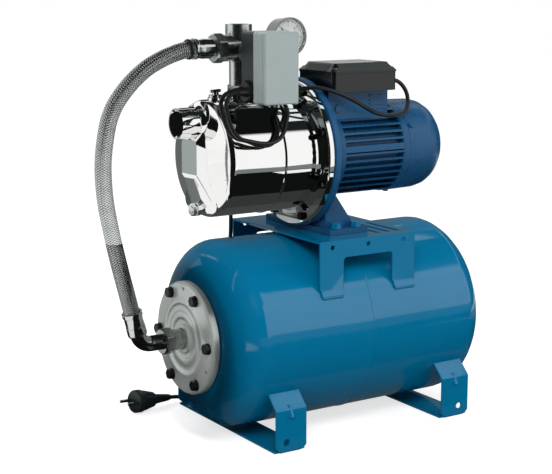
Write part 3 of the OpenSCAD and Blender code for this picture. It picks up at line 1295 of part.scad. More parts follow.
tank_shell();
tank_flange();
flange_bolts();
tank_bladder();
air_valve();
air_valve_cap();
foot_suction_end();
foot_motor_end();
console();
pump_casing();
filler_plug();
drain_plug();
casing_ring();
casing_bolts();
seal_plate();
casing_gasket();
seal_seat();
seal_ring();
impeller();
impeller_nut();
diffuser();
ejector();
motor_bracket();
motor_frame();
stator_core();
stator_windings();
rotor();
motor_shaft();
front_bearing();
rear_bearing();
rear_shield();
cooling_fan();
fan_cover();
fan_cover_screws();
terminal_box();
terminal_box_lid();
lid_screws();
capacitor();
terminal_block();
motor_gland();
foot_bolts();
switch_base();
switch_cover();
switch_cover_screw();
switch_springs();
switch_lever();
contact_block();
switch_glands();
gauge_case();
gauge_needle();
gauge_lens();
five_way_fitting();
hose();
hose_ends();
upper_hose_nut();
lower_hose_nut();
motor_cable();
mains_cable();
mains_coil();
mains_plug();
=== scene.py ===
# %% [markdown]
# # Dressing a domestic water pump
# The real set is a stainless jet pump with a cast motor, bolted on a blue enamelled vessel. The
# CAD part gives every solid its place and size. Blender adds what CAD leaves plain: the braid
# of the hose, the lie of the cables, the marks on the dial, and finishes that answer to light.

import json
import math

import bmesh
import bpy
from mathutils import Matrix, Vector


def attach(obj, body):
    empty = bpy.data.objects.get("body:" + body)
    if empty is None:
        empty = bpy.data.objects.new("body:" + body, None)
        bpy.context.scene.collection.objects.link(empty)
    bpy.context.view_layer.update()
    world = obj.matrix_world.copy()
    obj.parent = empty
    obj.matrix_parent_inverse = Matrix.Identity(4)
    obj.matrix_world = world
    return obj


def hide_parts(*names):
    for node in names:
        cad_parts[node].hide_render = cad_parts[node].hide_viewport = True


MM = 0.001
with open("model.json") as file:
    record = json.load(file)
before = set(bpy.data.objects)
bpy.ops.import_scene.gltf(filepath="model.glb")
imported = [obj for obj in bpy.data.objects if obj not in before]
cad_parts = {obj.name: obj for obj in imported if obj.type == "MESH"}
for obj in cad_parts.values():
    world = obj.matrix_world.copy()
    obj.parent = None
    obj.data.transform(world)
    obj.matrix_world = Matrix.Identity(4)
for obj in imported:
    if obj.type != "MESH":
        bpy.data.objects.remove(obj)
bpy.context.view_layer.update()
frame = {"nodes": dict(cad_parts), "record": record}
nodes = frame["nodes"]

# %% [markdown]
# ## The camera
# The set is seen from the front left, from a little above its shaft, with a long lens that
# keeps the vessel's two ends nearly the same size. A camera turns towards a direction best
# through a quaternion: to_track_quat lays its -Z axis along the view and keeps Y up.

# %% Camera
CAMERA_TURN, CAMERA_TILT = 32.75, 10.66


def view_direction(turn, tilt):
    """The way the camera looks, from its turn out of +Y and its tilt down, in degrees."""
    turn, tilt = math.radians(turn), math.radians(tilt)
    level = math.cos(tilt)
    return Vector((math.sin(turn) * level, math.cos(turn) * level, -math.sin(tilt)))


lens = bpy.data.cameras.new("lens")
lens.lens = 89.28
lens.sensor_width = 36.0
lens.clip_end = 50.0
camera = bpy.data.objects.new("camera", lens)
bpy.context.scene.collection.objects.link(camera)
camera.location = (-1.08206, -1.64789, 0.64304)
looking = view_direction(CAMERA_TURN, CAMERA_TILT)
camera.rotation_euler = looking.to_track_quat("-Z", "Y").to_euler()
bpy.context.scene.camera = camera
bpy.context.scene.view_settings.view_transform = "Standard"
print("camera at", [round(v, 3) for v in camera.location])

# %% [markdown]
# ## Lines for the leads
# A rubber lead bends in wide, even curves. Drawn straight from point to point it would show a
# corner at each one, so a smooth line goes through the points first. Each stretch is a Hermite
# curve: it leaves a point along the line between that point's two neighbours, which is how a
# springy lead lies.

# %% Smooth line through points
def smooth_line(points, steps=5):
    """The points joined by smooth curves, each drawn in a few steps."""
    ends = [points[0] * 2 - points[1]] + list(points) + [points[-1] * 2 - points[-2]]
    line = []
    for before, a, b, after in zip(ends, ends[1:], ends[2:], ends[3:]):
        reach = (b - a).length
        leave = (b - before).normalized() * reach
        arrive = (after - a).normalized() * reach
        for k in range(steps):
            t = k / steps
            line.append(
                a * (2 * t**3 - 3 * t**2 + 1)
                + leave * (t**3 - 2 * t**2 + t)
                + b * (3 * t**2 - 2 * t**3)
                + arrive * (t**3 - t**2)
            )
    line.append(points[-1].copy())
    return line


def in_metres(route):
    """Points written in millimetres as vectors in metres."""
    return [Vector(point) * MM for point in route]


def line_length(line):
    return sum((b - a).length for a, b in zip(line, line[1:]))


# %% A curve as a round tube
def new_object(name, data):
    made = bpy.data.objects.new(name, data)
    bpy.context.scene.collection.objects.link(made)
    return made


def tube_curve(name, line, radius):
    """A curve through the line's points, with a round section and closed ends."""
    data = bpy.data.curves.new(name, "CURVE")
    data.dimensions = "3D"
    data.bevel_depth = 1.0
    data.bevel_resolution = 5
    data.use_fill_caps = True
    spline = data.splines.new("POLY")
    spline.points.add(len(line) - 1)
    for spot, place in zip(spline.points, line):
        spot.co = (*place, 1.0)
        spot.radius = radius
    spline.use_smooth = True
    return new_object(name, data)


# %% [markdown]
# ## The mains lead
# A 1.4 m lead leaves the switch through the front half of its grommet, hangs in a loop beside
# the pump, goes over the barrel and down behind the vessel. The spare length lies there in
# nearly two turns, and the end runs along the floor to the plug. The whole lead is one curve,
# so the turns are part of it.

# %% Mains lead
LEAD_R = 3 * MM
down_to_floor = in_metres([
    (-103, -65, 493), (-126, -65, 493), (-138, -67, 489.8), (-146.8, -71.5, 481),
    (-150, -78, 469), (-150, -86, 454), (-146.8, -92, 442), (-138, -96, 433.2),
    (-126, -98.5, 430), (-110, -99.5, 426.5), (-94, -99, 426), (-78, -95, 430), (-66, -88, 438),
    (-57, -79, 448), (-47, -68, 458), (-39, -54, 466), (-36, -37, 476), (-35, -18, 482),
    (-36, 2, 484), (-36, 22, 481.5), (-37, 42, 473), (-38, 60, 460), (-39, 75, 443.5),
    (-40, 85, 422), (-40, 90, 398), (-40, 93, 372), (-40, 95, 346), (-40, 97, 320),
    (-40, 98, 294), (-40, 99, 268), (-40, 103, 246), (-40, 112, 228), (-41, 123, 210),
    (-41, 132, 190), (-42, 138, 168), (-43, 140, 144), (-44, 141, 118), (-45, 142, 92),
    (-46, 143, 66), (-46, 145, 43), (-45, 150, 24), (-42, 159, 12.5), (-36, 171, 6),
    (-28, 184, 3.5), (-21, 197, 3.5)])
along_floor = in_metres([
    (14.5, 170, 9.5), (0, 169, 9), (-16, 166, 7), (-34, 160.5, 4.5), (-56, 155.5, 3.5),
    (-78, 152, 4), (-96, 150, 5.8), (-110, 149, 8), (-122.5, 147, 10.1)])

COIL_CENTRE = Vector((14.5, 203, 3.5)) * MM
COIL_R = 33 * MM
COIL_STEPS = 24  # points in one turn
COIL_TURNS = 1.75
CLIMB_FROM = 0.75  # the lead climbs on itself in the last quarter of the first turn


def coil_spot(turned):
    """Where the lead lies after so many turns round the coil."""
    angle = math.pi - 2 * math.pi * turned
    rise = min(max((turned - CLIMB_FROM) / (1 - CLIMB_FROM), 0.0), 1.0)
    lift = 2 * LEAD_R * (3 * rise**2 - 2 * rise**3)
    return COIL_CENTRE + Vector((COIL_R * math.cos(angle), COIL_R * math.sin(angle), lift))


coil = [coil_spot(step / COIL_STEPS) for step in range(1, round(COIL_TURNS * COIL_STEPS))]
mains_line = smooth_line(down_to_floor) + coil + smooth_line(along_floor)
mains_lead = tube_curve("mains_lead", mains_line, LEAD_R)
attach(mains_lead, "set")
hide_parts("mains_cable", "mains_coil")
print("mains lead:", round(line_length(mains_line), 3), "m")

# %% [markdown]
# ## The motor lead
# The lead between the motor and the switch starts at the gland on the terminal box, turns back
# under the box, passes over the barrel's shoulder and comes into the switch from its left side,
# so that the loop can drip. Its length is set by its route, because both of its ends are held.

# %% Motor lead
motor_line = smooth_line(in_metres([
    (148, -36, 498), (156, -36, 498), (168, -37.5, 494.8), (176.8, -40.5, 486), (180, -45, 474),
    (176.8, -50, 462), (168, -55.5, 453.2), (156, -60, 450), (143, -63.5, 449.3),
    (129, -66.5, 449.5), (114, -69.5, 451.5), (98, -73, 456), (78, -77, 465), (56, -79, 476),
    (30, -78, 487), (4, -70, 494), (-17, -59, 493), (-32, -51, 487), (-41, -48.5, 479.5),
    (-49, -50, 472.3), (-57, -55, 466), (-63, -61, 459.5), (-66, -67, 452), (-68.5, -75.5, 441),
    (-74.5, -82.5, 430.5), (-84.5, -87, 423.5), (-98, -89, 421.5), (-112, -88.5, 424.5),
    (-126, -86.5, 430), (-138, -83.5, 433.2), (-146.8, -79, 442), (-150, -72.5, 454),
    (-150, -64, 469), (-146.8, -57.5, 481), (-138, -53, 489.8), (-126, -51, 493),
    (-103, -51, 493)]))
motor_lead = tube_curve("motor_lead", motor_line, LEAD_R)
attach(motor_lead, "set")
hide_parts("motor_cable")
print("motor lead:", round(line_length(motor_line), 3), "m")

# %% [markdown]
# ## The braided hose
# The short hose that joins the fitting to the vessel is rubber inside a braid of stainless
# wire. Flat bands of wire run round it both ways and pass over and under each other, which
# leaves small dark diamonds between them. The braid is one grid of points along the hose: each
# point is pushed out or in by the weave at its place, so that the edges and the shadows between
# the bands are real. Its finish adds painted shade in the same low places.

# %% Frames along a line
def frames_along(line):
    """Point, tangent, side and up at each point of a line, turned as little as possible."""
    side = Vector((0, 1, 0))
    made = []
    for i, place in enumerate(line):
        tangent = (line[min(i + 1, len(line) - 1)] - line[max(i - 1, 0)]).normalized()
        side = (side - tangent * side.dot(tangent)).normalized()
        made.append((place, tangent, side, tangent.cross(side)))
    return made


def even_line(line, spacing):
    """The line again, with points at an even distance."""
    count = max(2, round(line_length(line) / spacing))
    wanted = line_length(line) / count
    made, carried = [line[0].copy()], 0.0
    for a, b in zip(line, line[1:]):
        stretch = (b - a).length
        while carried + stretch >= wanted * len(made) - 1e-9 and len(made) < count:
            made.append(a.lerp(b, (wanted * len(made) - carried) / stretch))
        carried += stretch
    made.append(line[-1].copy())
    return made


# %% Skin and mesh helpers
def skin(mesh, rings):
    """Smooth faces between neighbouring rings that have the same number of points."""
    for near, far in zip(rings, rings[1:]):
        for k in range(len(near)):
            n = (k + 1) % len(near)
            mesh.faces.new((near[k], near[n], far[n], far[k])).smooth = True


def mesh_object(name, mesh, outward=True, sharp=None):
    """The mesh as an object: faces turned outward, and edges above an angle kept sharp."""
    if outward:
        bmesh.ops.recalc_face_normals(mesh, faces=mesh.faces)
    data = bpy.data.meshes.new(name)
    mesh.to_mesh(data)
    mesh.free()
    if sharp:
        data.set_sharp_from_angle(angle=math.radians(sharp))
    return new_object(name, data)


# %% Braid
HOSE_R = 11.5 * MM
hose_line = smooth_line(in_metres([
    (-150, 0, 549.5), (-160, 0, 549.2), (-172, 0, 547.7), (-187, 0, 543.8), (-206, 0, 537),
    (-228, 0, 526), (-248, 0, 511), (-264, 0, 495), (-277, 0, 478), (-286, 0, 459),
    (-292, 0, 434), (-296, 0, 404), (-296, 0, 374), (-293, 0, 343), (-287, 0, 311),
    (-280, 0, 279), (-273, 0, 250), (-265, 0, 219), (-258.9, 0, 195.1), (-256.5, 0, 186.2)]))
BANDS = 12  # bands that run each way
BAND_DEPTH = 0.9 * MM
LAY = 40 * MM  # length in which a band goes once round the hose
UNDER = 0.45  # height of a band where it dives under another
AROUND = 144


def braid_height(round_share, along):
    """Height of the weave from 0 to 1, and how far across its band this place lies."""
    p = BANDS * round_share + BANDS * along / LAY
    q = BANDS * round_share - BANDS * along / LAY
    over = (math.floor(p) + math.floor(q)) % 2 == 0
    across, lengthwise = (p % 1, q % 1) if over else (q % 1, p % 1)
    edge = abs(2 * across - 1)
    band = max(0.0, 1 - edge**6) ** 0.5
    return band * (UNDER + (1 - UNDER) * math.sin(math.pi * lengthwise)), across


def braided_tube(name, line, radius):
    """A tube whose skin follows the weave, with its two numbers kept at every point."""
    mesh = bmesh.new()
    across_at = mesh.verts.layers.float.new("across")
    height_at = mesh.verts.layers.float.new("height")
    rings, gone, before = [], 0.0, line[0]
    for place, tangent, side, up in frames_along(line):
        gone += (place - before).length
        before = place
        ring = []
        for k in range(AROUND):
            height, across = braid_height(k / AROUND, gone)
            angle = 2 * math.pi * k / AROUND
            out = side * math.cos(angle) + up * math.sin(angle)
            vertex = mesh.verts.new(place + out * (radius - BAND_DEPTH * (1 - height)))
            vertex[across_at] = across
            vertex[height_at] = height
            ring.append(vertex)
        rings.append(ring)
    skin(mesh, rings)
    for end in (rings[0][::-1], rings[-1]):
        mesh.faces.new(end)
    return mesh_object(name, mesh, outward=False)


hose_fine = even_line(hose_line, 0.55 * MM)
hose = braided_tube("braided_hose", hose_fine, HOSE_R)
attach(hose, "set")
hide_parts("hose")
print("hose:", round(line_length(hose_fine), 3), "m,", len(hose.data.polygons), "faces")

# %% [markdown]
# ## Turned pieces
# A plug head, a ferrule or a bezel is round about one line, so its shape is only the line's
# outline. A helper spins such an outline, given as pairs of place along the line and radius.
# Flutes pull strips of the surface in, which gives the finger grip of a plug.

# %% Spin an outline
def spun(name, outline, around=48, flutes=0, flute_depth=0.0, fluted=(0.0, 0.0)):
    """An outline of places and radii in millimetres, turned round the X axis."""
    mesh = bmesh.new()
    rings = []
    for along, radius in outline:
        ring = []
        for k in range(around):
            angle = 2 * math.pi * k / around
            r = radius
            if flutes and fluted[0] <= along <= fluted[1]:
                r -= flute_depth * (0.5 - 0.5 * math.cos(flutes * angle)) ** 2
            spot = Vector((along, r * math.cos(angle), r * math.sin(angle)))
            ring.append(mesh.verts.new(spot * MM))
        rings.append(ring)
    skin(mesh, rings)
    mesh.faces.new(rings[0][::-1])
    mesh.faces.new(rings[-1])
    return mesh_object(name, mesh, sharp=35)


# %% [markdown]
# ## The sleeve at the hose's upper end
# A black rubber sleeve closes the braid where it goes into the crimped end. It is a short ring
# with rounded edges, on the hose's own line.

# %% Hose sleeve
SLEEVE_X, SLEEVE_Z = -164.5, 549.1
SLEEVE_TILT = math.radians(-3)  # the hose already bends down a little here
sleeve_outline = [(-166.6, 11.4), (-166.6, 12.9), (-166.1, 13.6), (-165.2, 14), (-163.4, 14.1),
                  (-162.6, 13.8), (-162.4, 13), (-162.4, 11.4)]
sleeve_ring = spun("hose_sleeve", sleeve_outline, 64)
sleeve_ring.matrix_world = (Matrix.Translation(Vector((SLEEVE_X, 0, SLEEVE_Z)) * MM)
                            @ Matrix.Rotation(SLEEVE_TILT, 4, "Y")
                            @ Matrix.Translation(Vector((-SLEEVE_X, 0, 0)) * MM))
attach(sleeve_ring, "set")
print("sleeve:", len(sleeve_ring.data.polygons), "faces")

# %% [markdown]
# ## Weld beads under the console's legs
# Each leg of the console ends in a small plate that is welded to the vessel along its lower
# edge. A weld bead is a row of overlapping ripples, so its outline is a rod whose radius goes
# up and down, turned round its own line and half sunk in the shell. The console is symmetric,
# so one loop makes all four beads.

# %% Weld beads
BEAD_LENGTH = 36
BEAD_LEFT_ENDS = (-23, 103)
BEAD_TIP = 1.5  # length of the smooth tip at each end
RIPPLES = 20
VESSEL_AXIS_Z, VESSEL_R = 144.5, 135
PLATE_TURN = math.asin(119 / 138)  # the plate's middle is 119 out and 138 from the axis
PLATE_HALF = 8
BELOW_PLATE, PROUD = 0.8, 0.3
ripple_step = (BEAD_LENGTH - 2 * BEAD_TIP) / RIPPLES
bead_outline = [(0, 0.3), (0.7, 1.5)]
bead_outline += [(BEAD_TIP + i * ripple_step, 2.3 if i % 2 else 1.9) for i in range(RIPPLES + 1)]
bead_outline += [(BEAD_LENGTH - 0.7, 1.5), (BEAD_LENGTH, 0.3)]
weld_beads = []
for side in (-1, 1):
    for left_end in BEAD_LEFT_ENDS:
        bead = spun("weld_bead", bead_outline, 20)
        below_edge = Vector((0, side * (PLATE_HALF + BELOW_PLATE), VESSEL_R + PROUD)) * MM
        bead.data.transform(Matrix.Translation(Vector((left_end, 0, VESSEL_AXIS_Z)) * MM)
                            @ Matrix.Rotation(-side * PLATE_TURN, 4, "X")
                            @ Matrix.Translation(below_edge))
        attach(bead, "set")
        weld_beads.append(bead)
print("weld beads:", len(weld_beads))

# %% [markdown]
# ## The mains plug
# The plug is moulded on the lead: a round head with flats and finger flutes, a neck with
# flexing ribs that keeps the lead from kinking, and two round pins with a sleeve at their root.
# It lies on the floor on the edge of its head, so its line tips down towards the pins and turns
# a little outwards. The pieces are made on the X axis and one matrix lays their meshes in
# place, so that the box of each piece on the floor is exact.

# %% Mains plug
PLUG_PLACE = (Matrix.Translation(Vector((-191, 133, 18.1)) * MM)
              @ Matrix.Rotation(math.radians(11.5), 4, "Z")
              @ Matrix.Rotation(math.radians(6.5), 4, "Y"))
RIBS, FIRST_RIB, RIB_STEP = 8, 40, 3.5
plug_outline = [(0.2, 3), (0.2, 15.2), (0.9, 16.6), (1.8, 17.2), (4, 17.3), (11, 17.2),
                (12.2, 16.6), (13, 15.8), (16, 15.6), (19, 15.2), (24, 14), (29, 12.8), (33, 12),
                (35.4, 11.4), (36.4, 9.6), (39, 8.4)]
for rib in range(RIBS):
    start = FIRST_RIB + rib * RIB_STEP
    neck = 7.4 - rib * 0.36
    plug_outline += [(start, neck), (start + 0.5, neck + 0.3), (start + 1.8, neck + 0.2),
                     (start + 2.2, neck - 0.7), (start + 3.1, neck - 0.8)]
plug_outline += [(68.4, 4.5), (69.8, 4.2), (69.9, 3.1)]
plug_head = spun("plug_head", plug_outline, 96, flutes=12, flute_depth=1.5, fluted=(16, 33))
plug_head.data.transform(PLUG_PLACE)
print("plug head:", len(plug_head.data.polygons), "faces")

# %% Plug pins
PIN_OFFSET = 9.5
sleeve_shape = [(-9.5, 1.2), (-9.5, 2.1), (-9.2, 2.3), (0.6, 2.35), (0.6, 1)]
pin_shape = [(-18.9, 0.6), (-18.7, 1.5), (-17.6, 2.2), (-16.6, 2.38), (-9.2, 2.38), (-9.2, 1)]
plug_slots = {plug_head: "base_plastic"}
for offset in (-PIN_OFFSET, PIN_OFFSET):
    beside = PLUG_PLACE @ Matrix.Translation(Vector((0, offset, 0)) * MM)
    for name, shape, slot in (("pin_sleeve", sleeve_shape, "base_plastic"),
                              ("pin", pin_shape, "nickel")):
        piece = spun(name, shape, 24)
        piece.data.transform(beside)
        plug_slots[piece] = slot
plug_pieces = list(plug_slots)
for piece in plug_pieces:
    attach(piece, "set")
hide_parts("mains_plug")
print("plug pieces:", len(plug_pieces))

# %% [markdown]
# ## The tie round the coil
# A strap of soft plastic holds the turns of the spare lead together. It is a thin band bent
# round the two turns. Its section is one outline, repeated at four places across its width.

# %% Coil tie
def strap_loop(name, half_wide, half_high, thick, width, corner):
    """A band closed round a rounded rectangle in the XZ plane, with its width along Y."""
    mesh = bmesh.new()
    outline = []
    for cx, cz, start in ((1, 1, 0), (-1, 1, 90), (-1, -1, 180), (1, -1, 270)):
        middle = Vector((cx * (half_wide - corner), 0, cz * (half_high - corner)))
        for step in range(7):
            angle = math.radians(start + step * 15)
            outline.append((middle, Vector((math.cos(angle), 0, math.sin(angle)))))
    outer = corner + thick
    rings = []
    for side, radius in ((-0.5, corner), (-0.42, outer), (0.42, outer), (0.5, corner)):
        across = Vector((0, side * width, 0))
        rings.append([mesh.verts.new((middle + across + out * radius) * MM)
                      for middle, out in outline])
    skin(mesh, rings + rings[:1])
    return mesh_object(name, mesh, sharp=40)


TIE_TURN = math.radians(35)
tie = strap_loop("coil_tie", half_wide=3.15, half_high=6.15, thick=0.7, width=7, corner=3.1)
on_coil = Vector((COIL_R * math.cos(TIE_TURN), COIL_R * math.sin(TIE_TURN), LEAD_R))
tie.matrix_world = Matrix.Translation(COIL_CENTRE + on_coil) @ Matrix.Rotation(TIE_TURN, 4, "Z")
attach(tie, "set")
print("tie:", len(tie.data.polygons), "faces")

# %% [markdown]
# ## The dial of the pressure gauge
# The dial is a pale printed disc with a scale from 0 to 6 bar round three quarters of it. Ink
# has almost no height, so the marks are thin raised plates a twentieth of a millimetre proud.
# The scale starts at the upper left, where the needle rests, because the gauge is screwed in
# from its side.

# %% Places on the dial
GAUGE = Vector((-6, -6, 562.8)) * MM
FULL_SCALE, SWEEP = 6, 270
CARD_LOW, CARD_HIGH = 0.05, 0.33
INK_LOW, INK_HIGH = 0.32, 0.38


def dial_turn(value):
    """Angle of a value on the dial, in radians from +X towards +Z."""
    return math.radians(SWEEP / 2 - SWEEP * value / FULL_SCALE)


def dial_spot(turn, radius, proud):
    """A point over the dial, from its angle, its radius and its height, in millimetres."""
    return GAUGE + Vector((radius * math.cos(turn), -proud, radius * math.sin(turn))) * MM


def plate(mesh, corners, low, high):
    """A thin plate between two heights above the dial, from corners given as turn and radius."""
    base = [mesh.verts.new(dial_spot(turn, radius, low)) for turn, radius in corners]
    top = [mesh.verts.new(dial_spot(turn, radius, high)) for turn, radius in corners]
    mesh.faces.new(top)
    mesh.faces.new(base[::-1])
    for k in range(len(corners)):
        n = (k + 1) % len(corners)
        mesh.faces.new((base[k], base[n], top[n], top[k]))


def tick(mesh, value, inner, outer, width):
    """One mark of the scale, from an inner to an outer radius, with even width."""
    turn = dial_turn(value)
    corners = [(turn + side * width / 2 / radius, radius) for side, radius in
               ((-1, inner), (-1, outer), (1, outer), (1, inner))]
    plate(mesh, corners, INK_LOW, INK_HIGH)


# %% Card and marks of the dial
CARD_R, CARD_STEPS = 25.2, 72
MARK_OUTER = 22.6
WHOLE, HALF, TENTH = (19.2, 0.9), (20.4, 0.5), (21.4, 0.25)  # inner radius and width
ARC_INNER, ARC_OUTER, ARC_STEPS = 22.5, 22.9, 90
card_mesh = bmesh.new()
rim = [(2 * math.pi * k / CARD_STEPS, CARD_R) for k in range(CARD_STEPS)]
plate(card_mesh, rim, CARD_LOW, CARD_HIGH)
dial_card = mesh_object("dial_card", card_mesh)
marks = bmesh.new()
for tenths in range(FULL_SCALE * 10 + 1):
    inner, width = TENTH if tenths % 5 else HALF if tenths % 10 else WHOLE
    tick(marks, tenths / 10, inner, MARK_OUTER, width)
for step in range(ARC_STEPS):
    start = dial_turn(FULL_SCALE * step / ARC_STEPS)
    end = dial_turn(FULL_SCALE * (step + 1) / ARC_STEPS)
    plate(marks, [(start, ARC_INNER), (start, ARC_OUTER), (end, ARC_OUTER), (end, ARC_INNER)],
          INK_LOW, INK_HIGH)
dial_marks = mesh_object("dial_marks", marks)
print("dial marks:", FULL_SCALE * 10 + 1)

# %% Numbers of the dial
NUMBER_R, NUMBER_SIZE, NUMBER_UP = 15.2, 6.0, 0.35
dial_numbers = []
for value in range(FULL_SCALE + 1):
    letters = bpy.data.curves.new(f"dial_number_{value}", "FONT")
    letters.body = str(value)
    letters.size = NUMBER_SIZE * MM
    letters.extrude = 0.03 * MM
    letters.align_x, letters.align_y = "CENTER", "CENTER"
    number = new_object(f"dial_number_{value}", letters)
    number.location = dial_spot(dial_turn(value), NUMBER_R, NUMBER_UP)
    number.rotation_euler = (math.radians(90), 0, 0)
    dial_numbers.append(number)
for piece in [dial_card, dial_marks] + dial_numbers:
    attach(piece, "set")
print("dial numbers:", len(dial_numbers))

# %% Cords
print("cords made: mains lead, motor lead and hose")

# %% [markdown]
# ## Studio: the world
# Polished steel shows the room more than itself, so the room is built for it. The camera sees
# plain white. Reflections see a wall of light that goes up to about forty degrees, and near
# darkness above it. Everything else is lit by an even, weaker fill. Light Path tells the three
# kinds of ray apart, and two Mix Shader nodes choose between them.

# %% World
WHITE = (1, 1, 1, 1)
NIGHT = (0.012, 0.014, 0.015, 1)
LIGHT_TO, DARK_FROM = 0.61, 0.66  # sines of the heights where the wall of light ends
world = bpy.data.worlds.new("studio")
world.use_nodes = True
bpy.context.scene.world = world
tree = world.node_tree
tree.nodes.clear()


def add(tree, kind, **inputs):
    """A node with its settings: Capital names are sockets, the rest are the node's own."""
    node = tree.nodes.new(kind)
    for key, value in inputs.items():
        if hasattr(node, key):
            setattr(node, key, value)
        else:
            node.inputs[key.replace("_", " ")].default_value = value
    return node


path = add(tree, "ShaderNodeLightPath")
place = add(tree, "ShaderNodeTexCoord")
split = add(tree, "ShaderNodeSeparateXYZ")
tree.links.new(place.outputs["Generated"], split.inputs[0])
sky = add(tree, "ShaderNodeValToRGB")
sky_low, sky_high = sky.color_ramp.elements
sky_low.position, sky_low.color = LIGHT_TO, WHITE
sky_high.position, sky_high.color = DARK_FROM, NIGHT
tree.links.new(split.outputs["Z"], sky.inputs[0])
fill = add(tree, "ShaderNodeBackground", Color=WHITE, Strength=0.62)
seen = add(tree, "ShaderNodeBackground", Color=WHITE, Strength=1.0)
shown = add(tree, "ShaderNodeBackground", Strength=1.05)
tree.links.new(sky.outputs[0], shown.inputs["Color"])
by_glossy = add(tree, "ShaderNodeMixShader")
by_camera = add(tree, "ShaderNodeMixShader")
out = add(tree, "ShaderNodeOutputWorld")
tree.links.new(path.outputs["Is Glossy Ray"], by_glossy.inputs[0])
tree.links.new(fill.outputs[0], by_glossy.inputs[1])
tree.links.new(shown.outputs[0], by_glossy.inputs[2])
tree.links.new(path.outputs["Is Camera Ray"], by_camera.inputs[0])
tree.links.new(by_glossy.outputs[0], by_camera.inputs[1])
tree.links.new(seen.outputs[0], by_camera.inputs[2])
tree.links.new(by_camera.outputs[0], out.inputs[0])
print("world nodes:", len(tree.nodes))

# %% [markdown]
# ## Studio: the floor
# The floor is pale and wide, and it has to take the shadow of the set and still be white in the
# picture. So its paint is matt grey for the light that falls on the set, and has a glow added
# where the camera, a reflection or the gauge's glass looks at it. A shadow darkens only the
# matt share, which leaves it soft.

# %% Flat ring
def flat_ring(name, inner, outer, height, start=0, stop=360, around=96):
    """A flat ring, or the sector of one between two angles, in degrees from +X towards +Y."""
    mesh = bmesh.new()
    turns = [math.radians(start + (stop - start) * k / around) for k in range(around + 1)]
    near, far = [[mesh.verts.new((r * math.cos(turn), r * math.sin(turn), height))
                  for turn in turns] for r in (inner, outer)]
    for k in range(around):
        mesh.faces.new((near[k], far[k], far[k + 1], near[k + 1]))
    return mesh_object(name, mesh, outward=False)


# %% Floor
FLOOR_Z, FLOOR_R = -0.0005, 12.0
floor = flat_ring("floor", 0.001, FLOOR_R, FLOOR_Z)
floor_paint = bpy.data.materials.new("floor_paint")
floor_paint.use_nodes = True
tree = floor_paint.node_tree
tree.nodes.clear()
path = add(tree, "ShaderNodeLightPath")
matt = add(tree, "ShaderNodeBsdfDiffuse", Color=(0.5, 0.5, 0.5, 1))
glow = add(tree, "ShaderNodeEmission", Color=WHITE, Strength=0.70)
both = add(tree, "ShaderNodeAddShader")
seen = add(tree, "ShaderNodeMixShader")
either = add(tree, "ShaderNodeMath", operation="MAXIMUM")
clear_too = add(tree, "ShaderNodeMath", operation="MAXIMUM")
out = add(tree, "ShaderNodeOutputMaterial")
tree.links.new(matt.outputs[0], both.inputs[0])
tree.links.new(glow.outputs[0], both.inputs[1])
tree.links.new(path.outputs["Is Camera Ray"], either.inputs[0])
tree.links.new(path.outputs["Is Glossy Ray"], either.inputs[1])
tree.links.new(either.outputs[0], clear_too.inputs[0])
tree.links.new(path.outputs["Is Transmission Ray"], clear_too.inputs[1])
tree.links.new(clear_too.outputs[0], seen.inputs[0])
tree.links.new(matt.outputs[0], seen.inputs[1])
tree.links.new(both.outputs[0], seen.inputs[2])
tree.links.new(seen.outputs[0], out.inputs["Surface"])
floor.data.materials.append(floor_paint)
print("floor radius:", FLOOR_R, "m")

# %% [markdown]
# ## Studio: cards that only reflections see
# A studio photographer sets dark and white cards round polished metal, just out of the picture,
# and each one becomes a band or a patch on it. The same is done here: every card glows evenly
# with its own shade, and only reflections see it. The floor rings and the low wall in front
# give the barrel its dark lower half, the panel above them gives its broad white band. The
# level cards round the pump's head are white from above, for the pump's cap, and dark from
# below, for the vessel's end. The ring behind the flange is the one card that also shades: it
# deepens the dark crescent that the flange leaves on the vessel's end.

# %% Card helpers
BLACK = 0.006
WHITE_FROM = 0.5  # a brighter card is pure white, a darker one a little cool
COOL = (0.9, 1, 0.99, 1)


def card(piece, shade, back=None):
    """A stage card that only reflections see: one shade, or another one on its back."""
    paint = bpy.data.materials.new(piece.name)
    paint.use_nodes = True
    tree = paint.node_tree
    tree.nodes.clear()
    colour = WHITE if shade > WHITE_FROM else COOL
    glow = add(tree, "ShaderNodeEmission", Color=colour, Strength=shade)
    out = add(tree, "ShaderNodeOutputMaterial")
    tree.links.new(glow.outputs[0], out.inputs["Surface"])
    if back is not None:
        other = add(tree, "ShaderNodeEmission", Color=COOL, Strength=back)
        side = add(tree, "ShaderNodeNewGeometry")
        pick = add(tree, "ShaderNodeMixShader")
        tree.links.new(side.outputs["Backfacing"], pick.inputs[0])
        tree.links.new(glow.outputs[0], pick.inputs[1])
        tree.links.new(other.outputs[0], pick.inputs[2])
        tree.links.new(pick.outputs[0], out.inputs["Surface"])
    piece.data.materials.append(paint)
    for hidden in ("visible_camera", "visible_diffuse", "visible_shadow", "visible_transmission"):
        setattr(piece, hidden, False)


def flat_card(name, shade, corners, back=None):
    """A card with four corners, in metres."""
    data = bpy.data.meshes.new(name)
    data.from_pydata(corners, [], [range(len(corners))])
    card(new_object(name, data), shade, back)


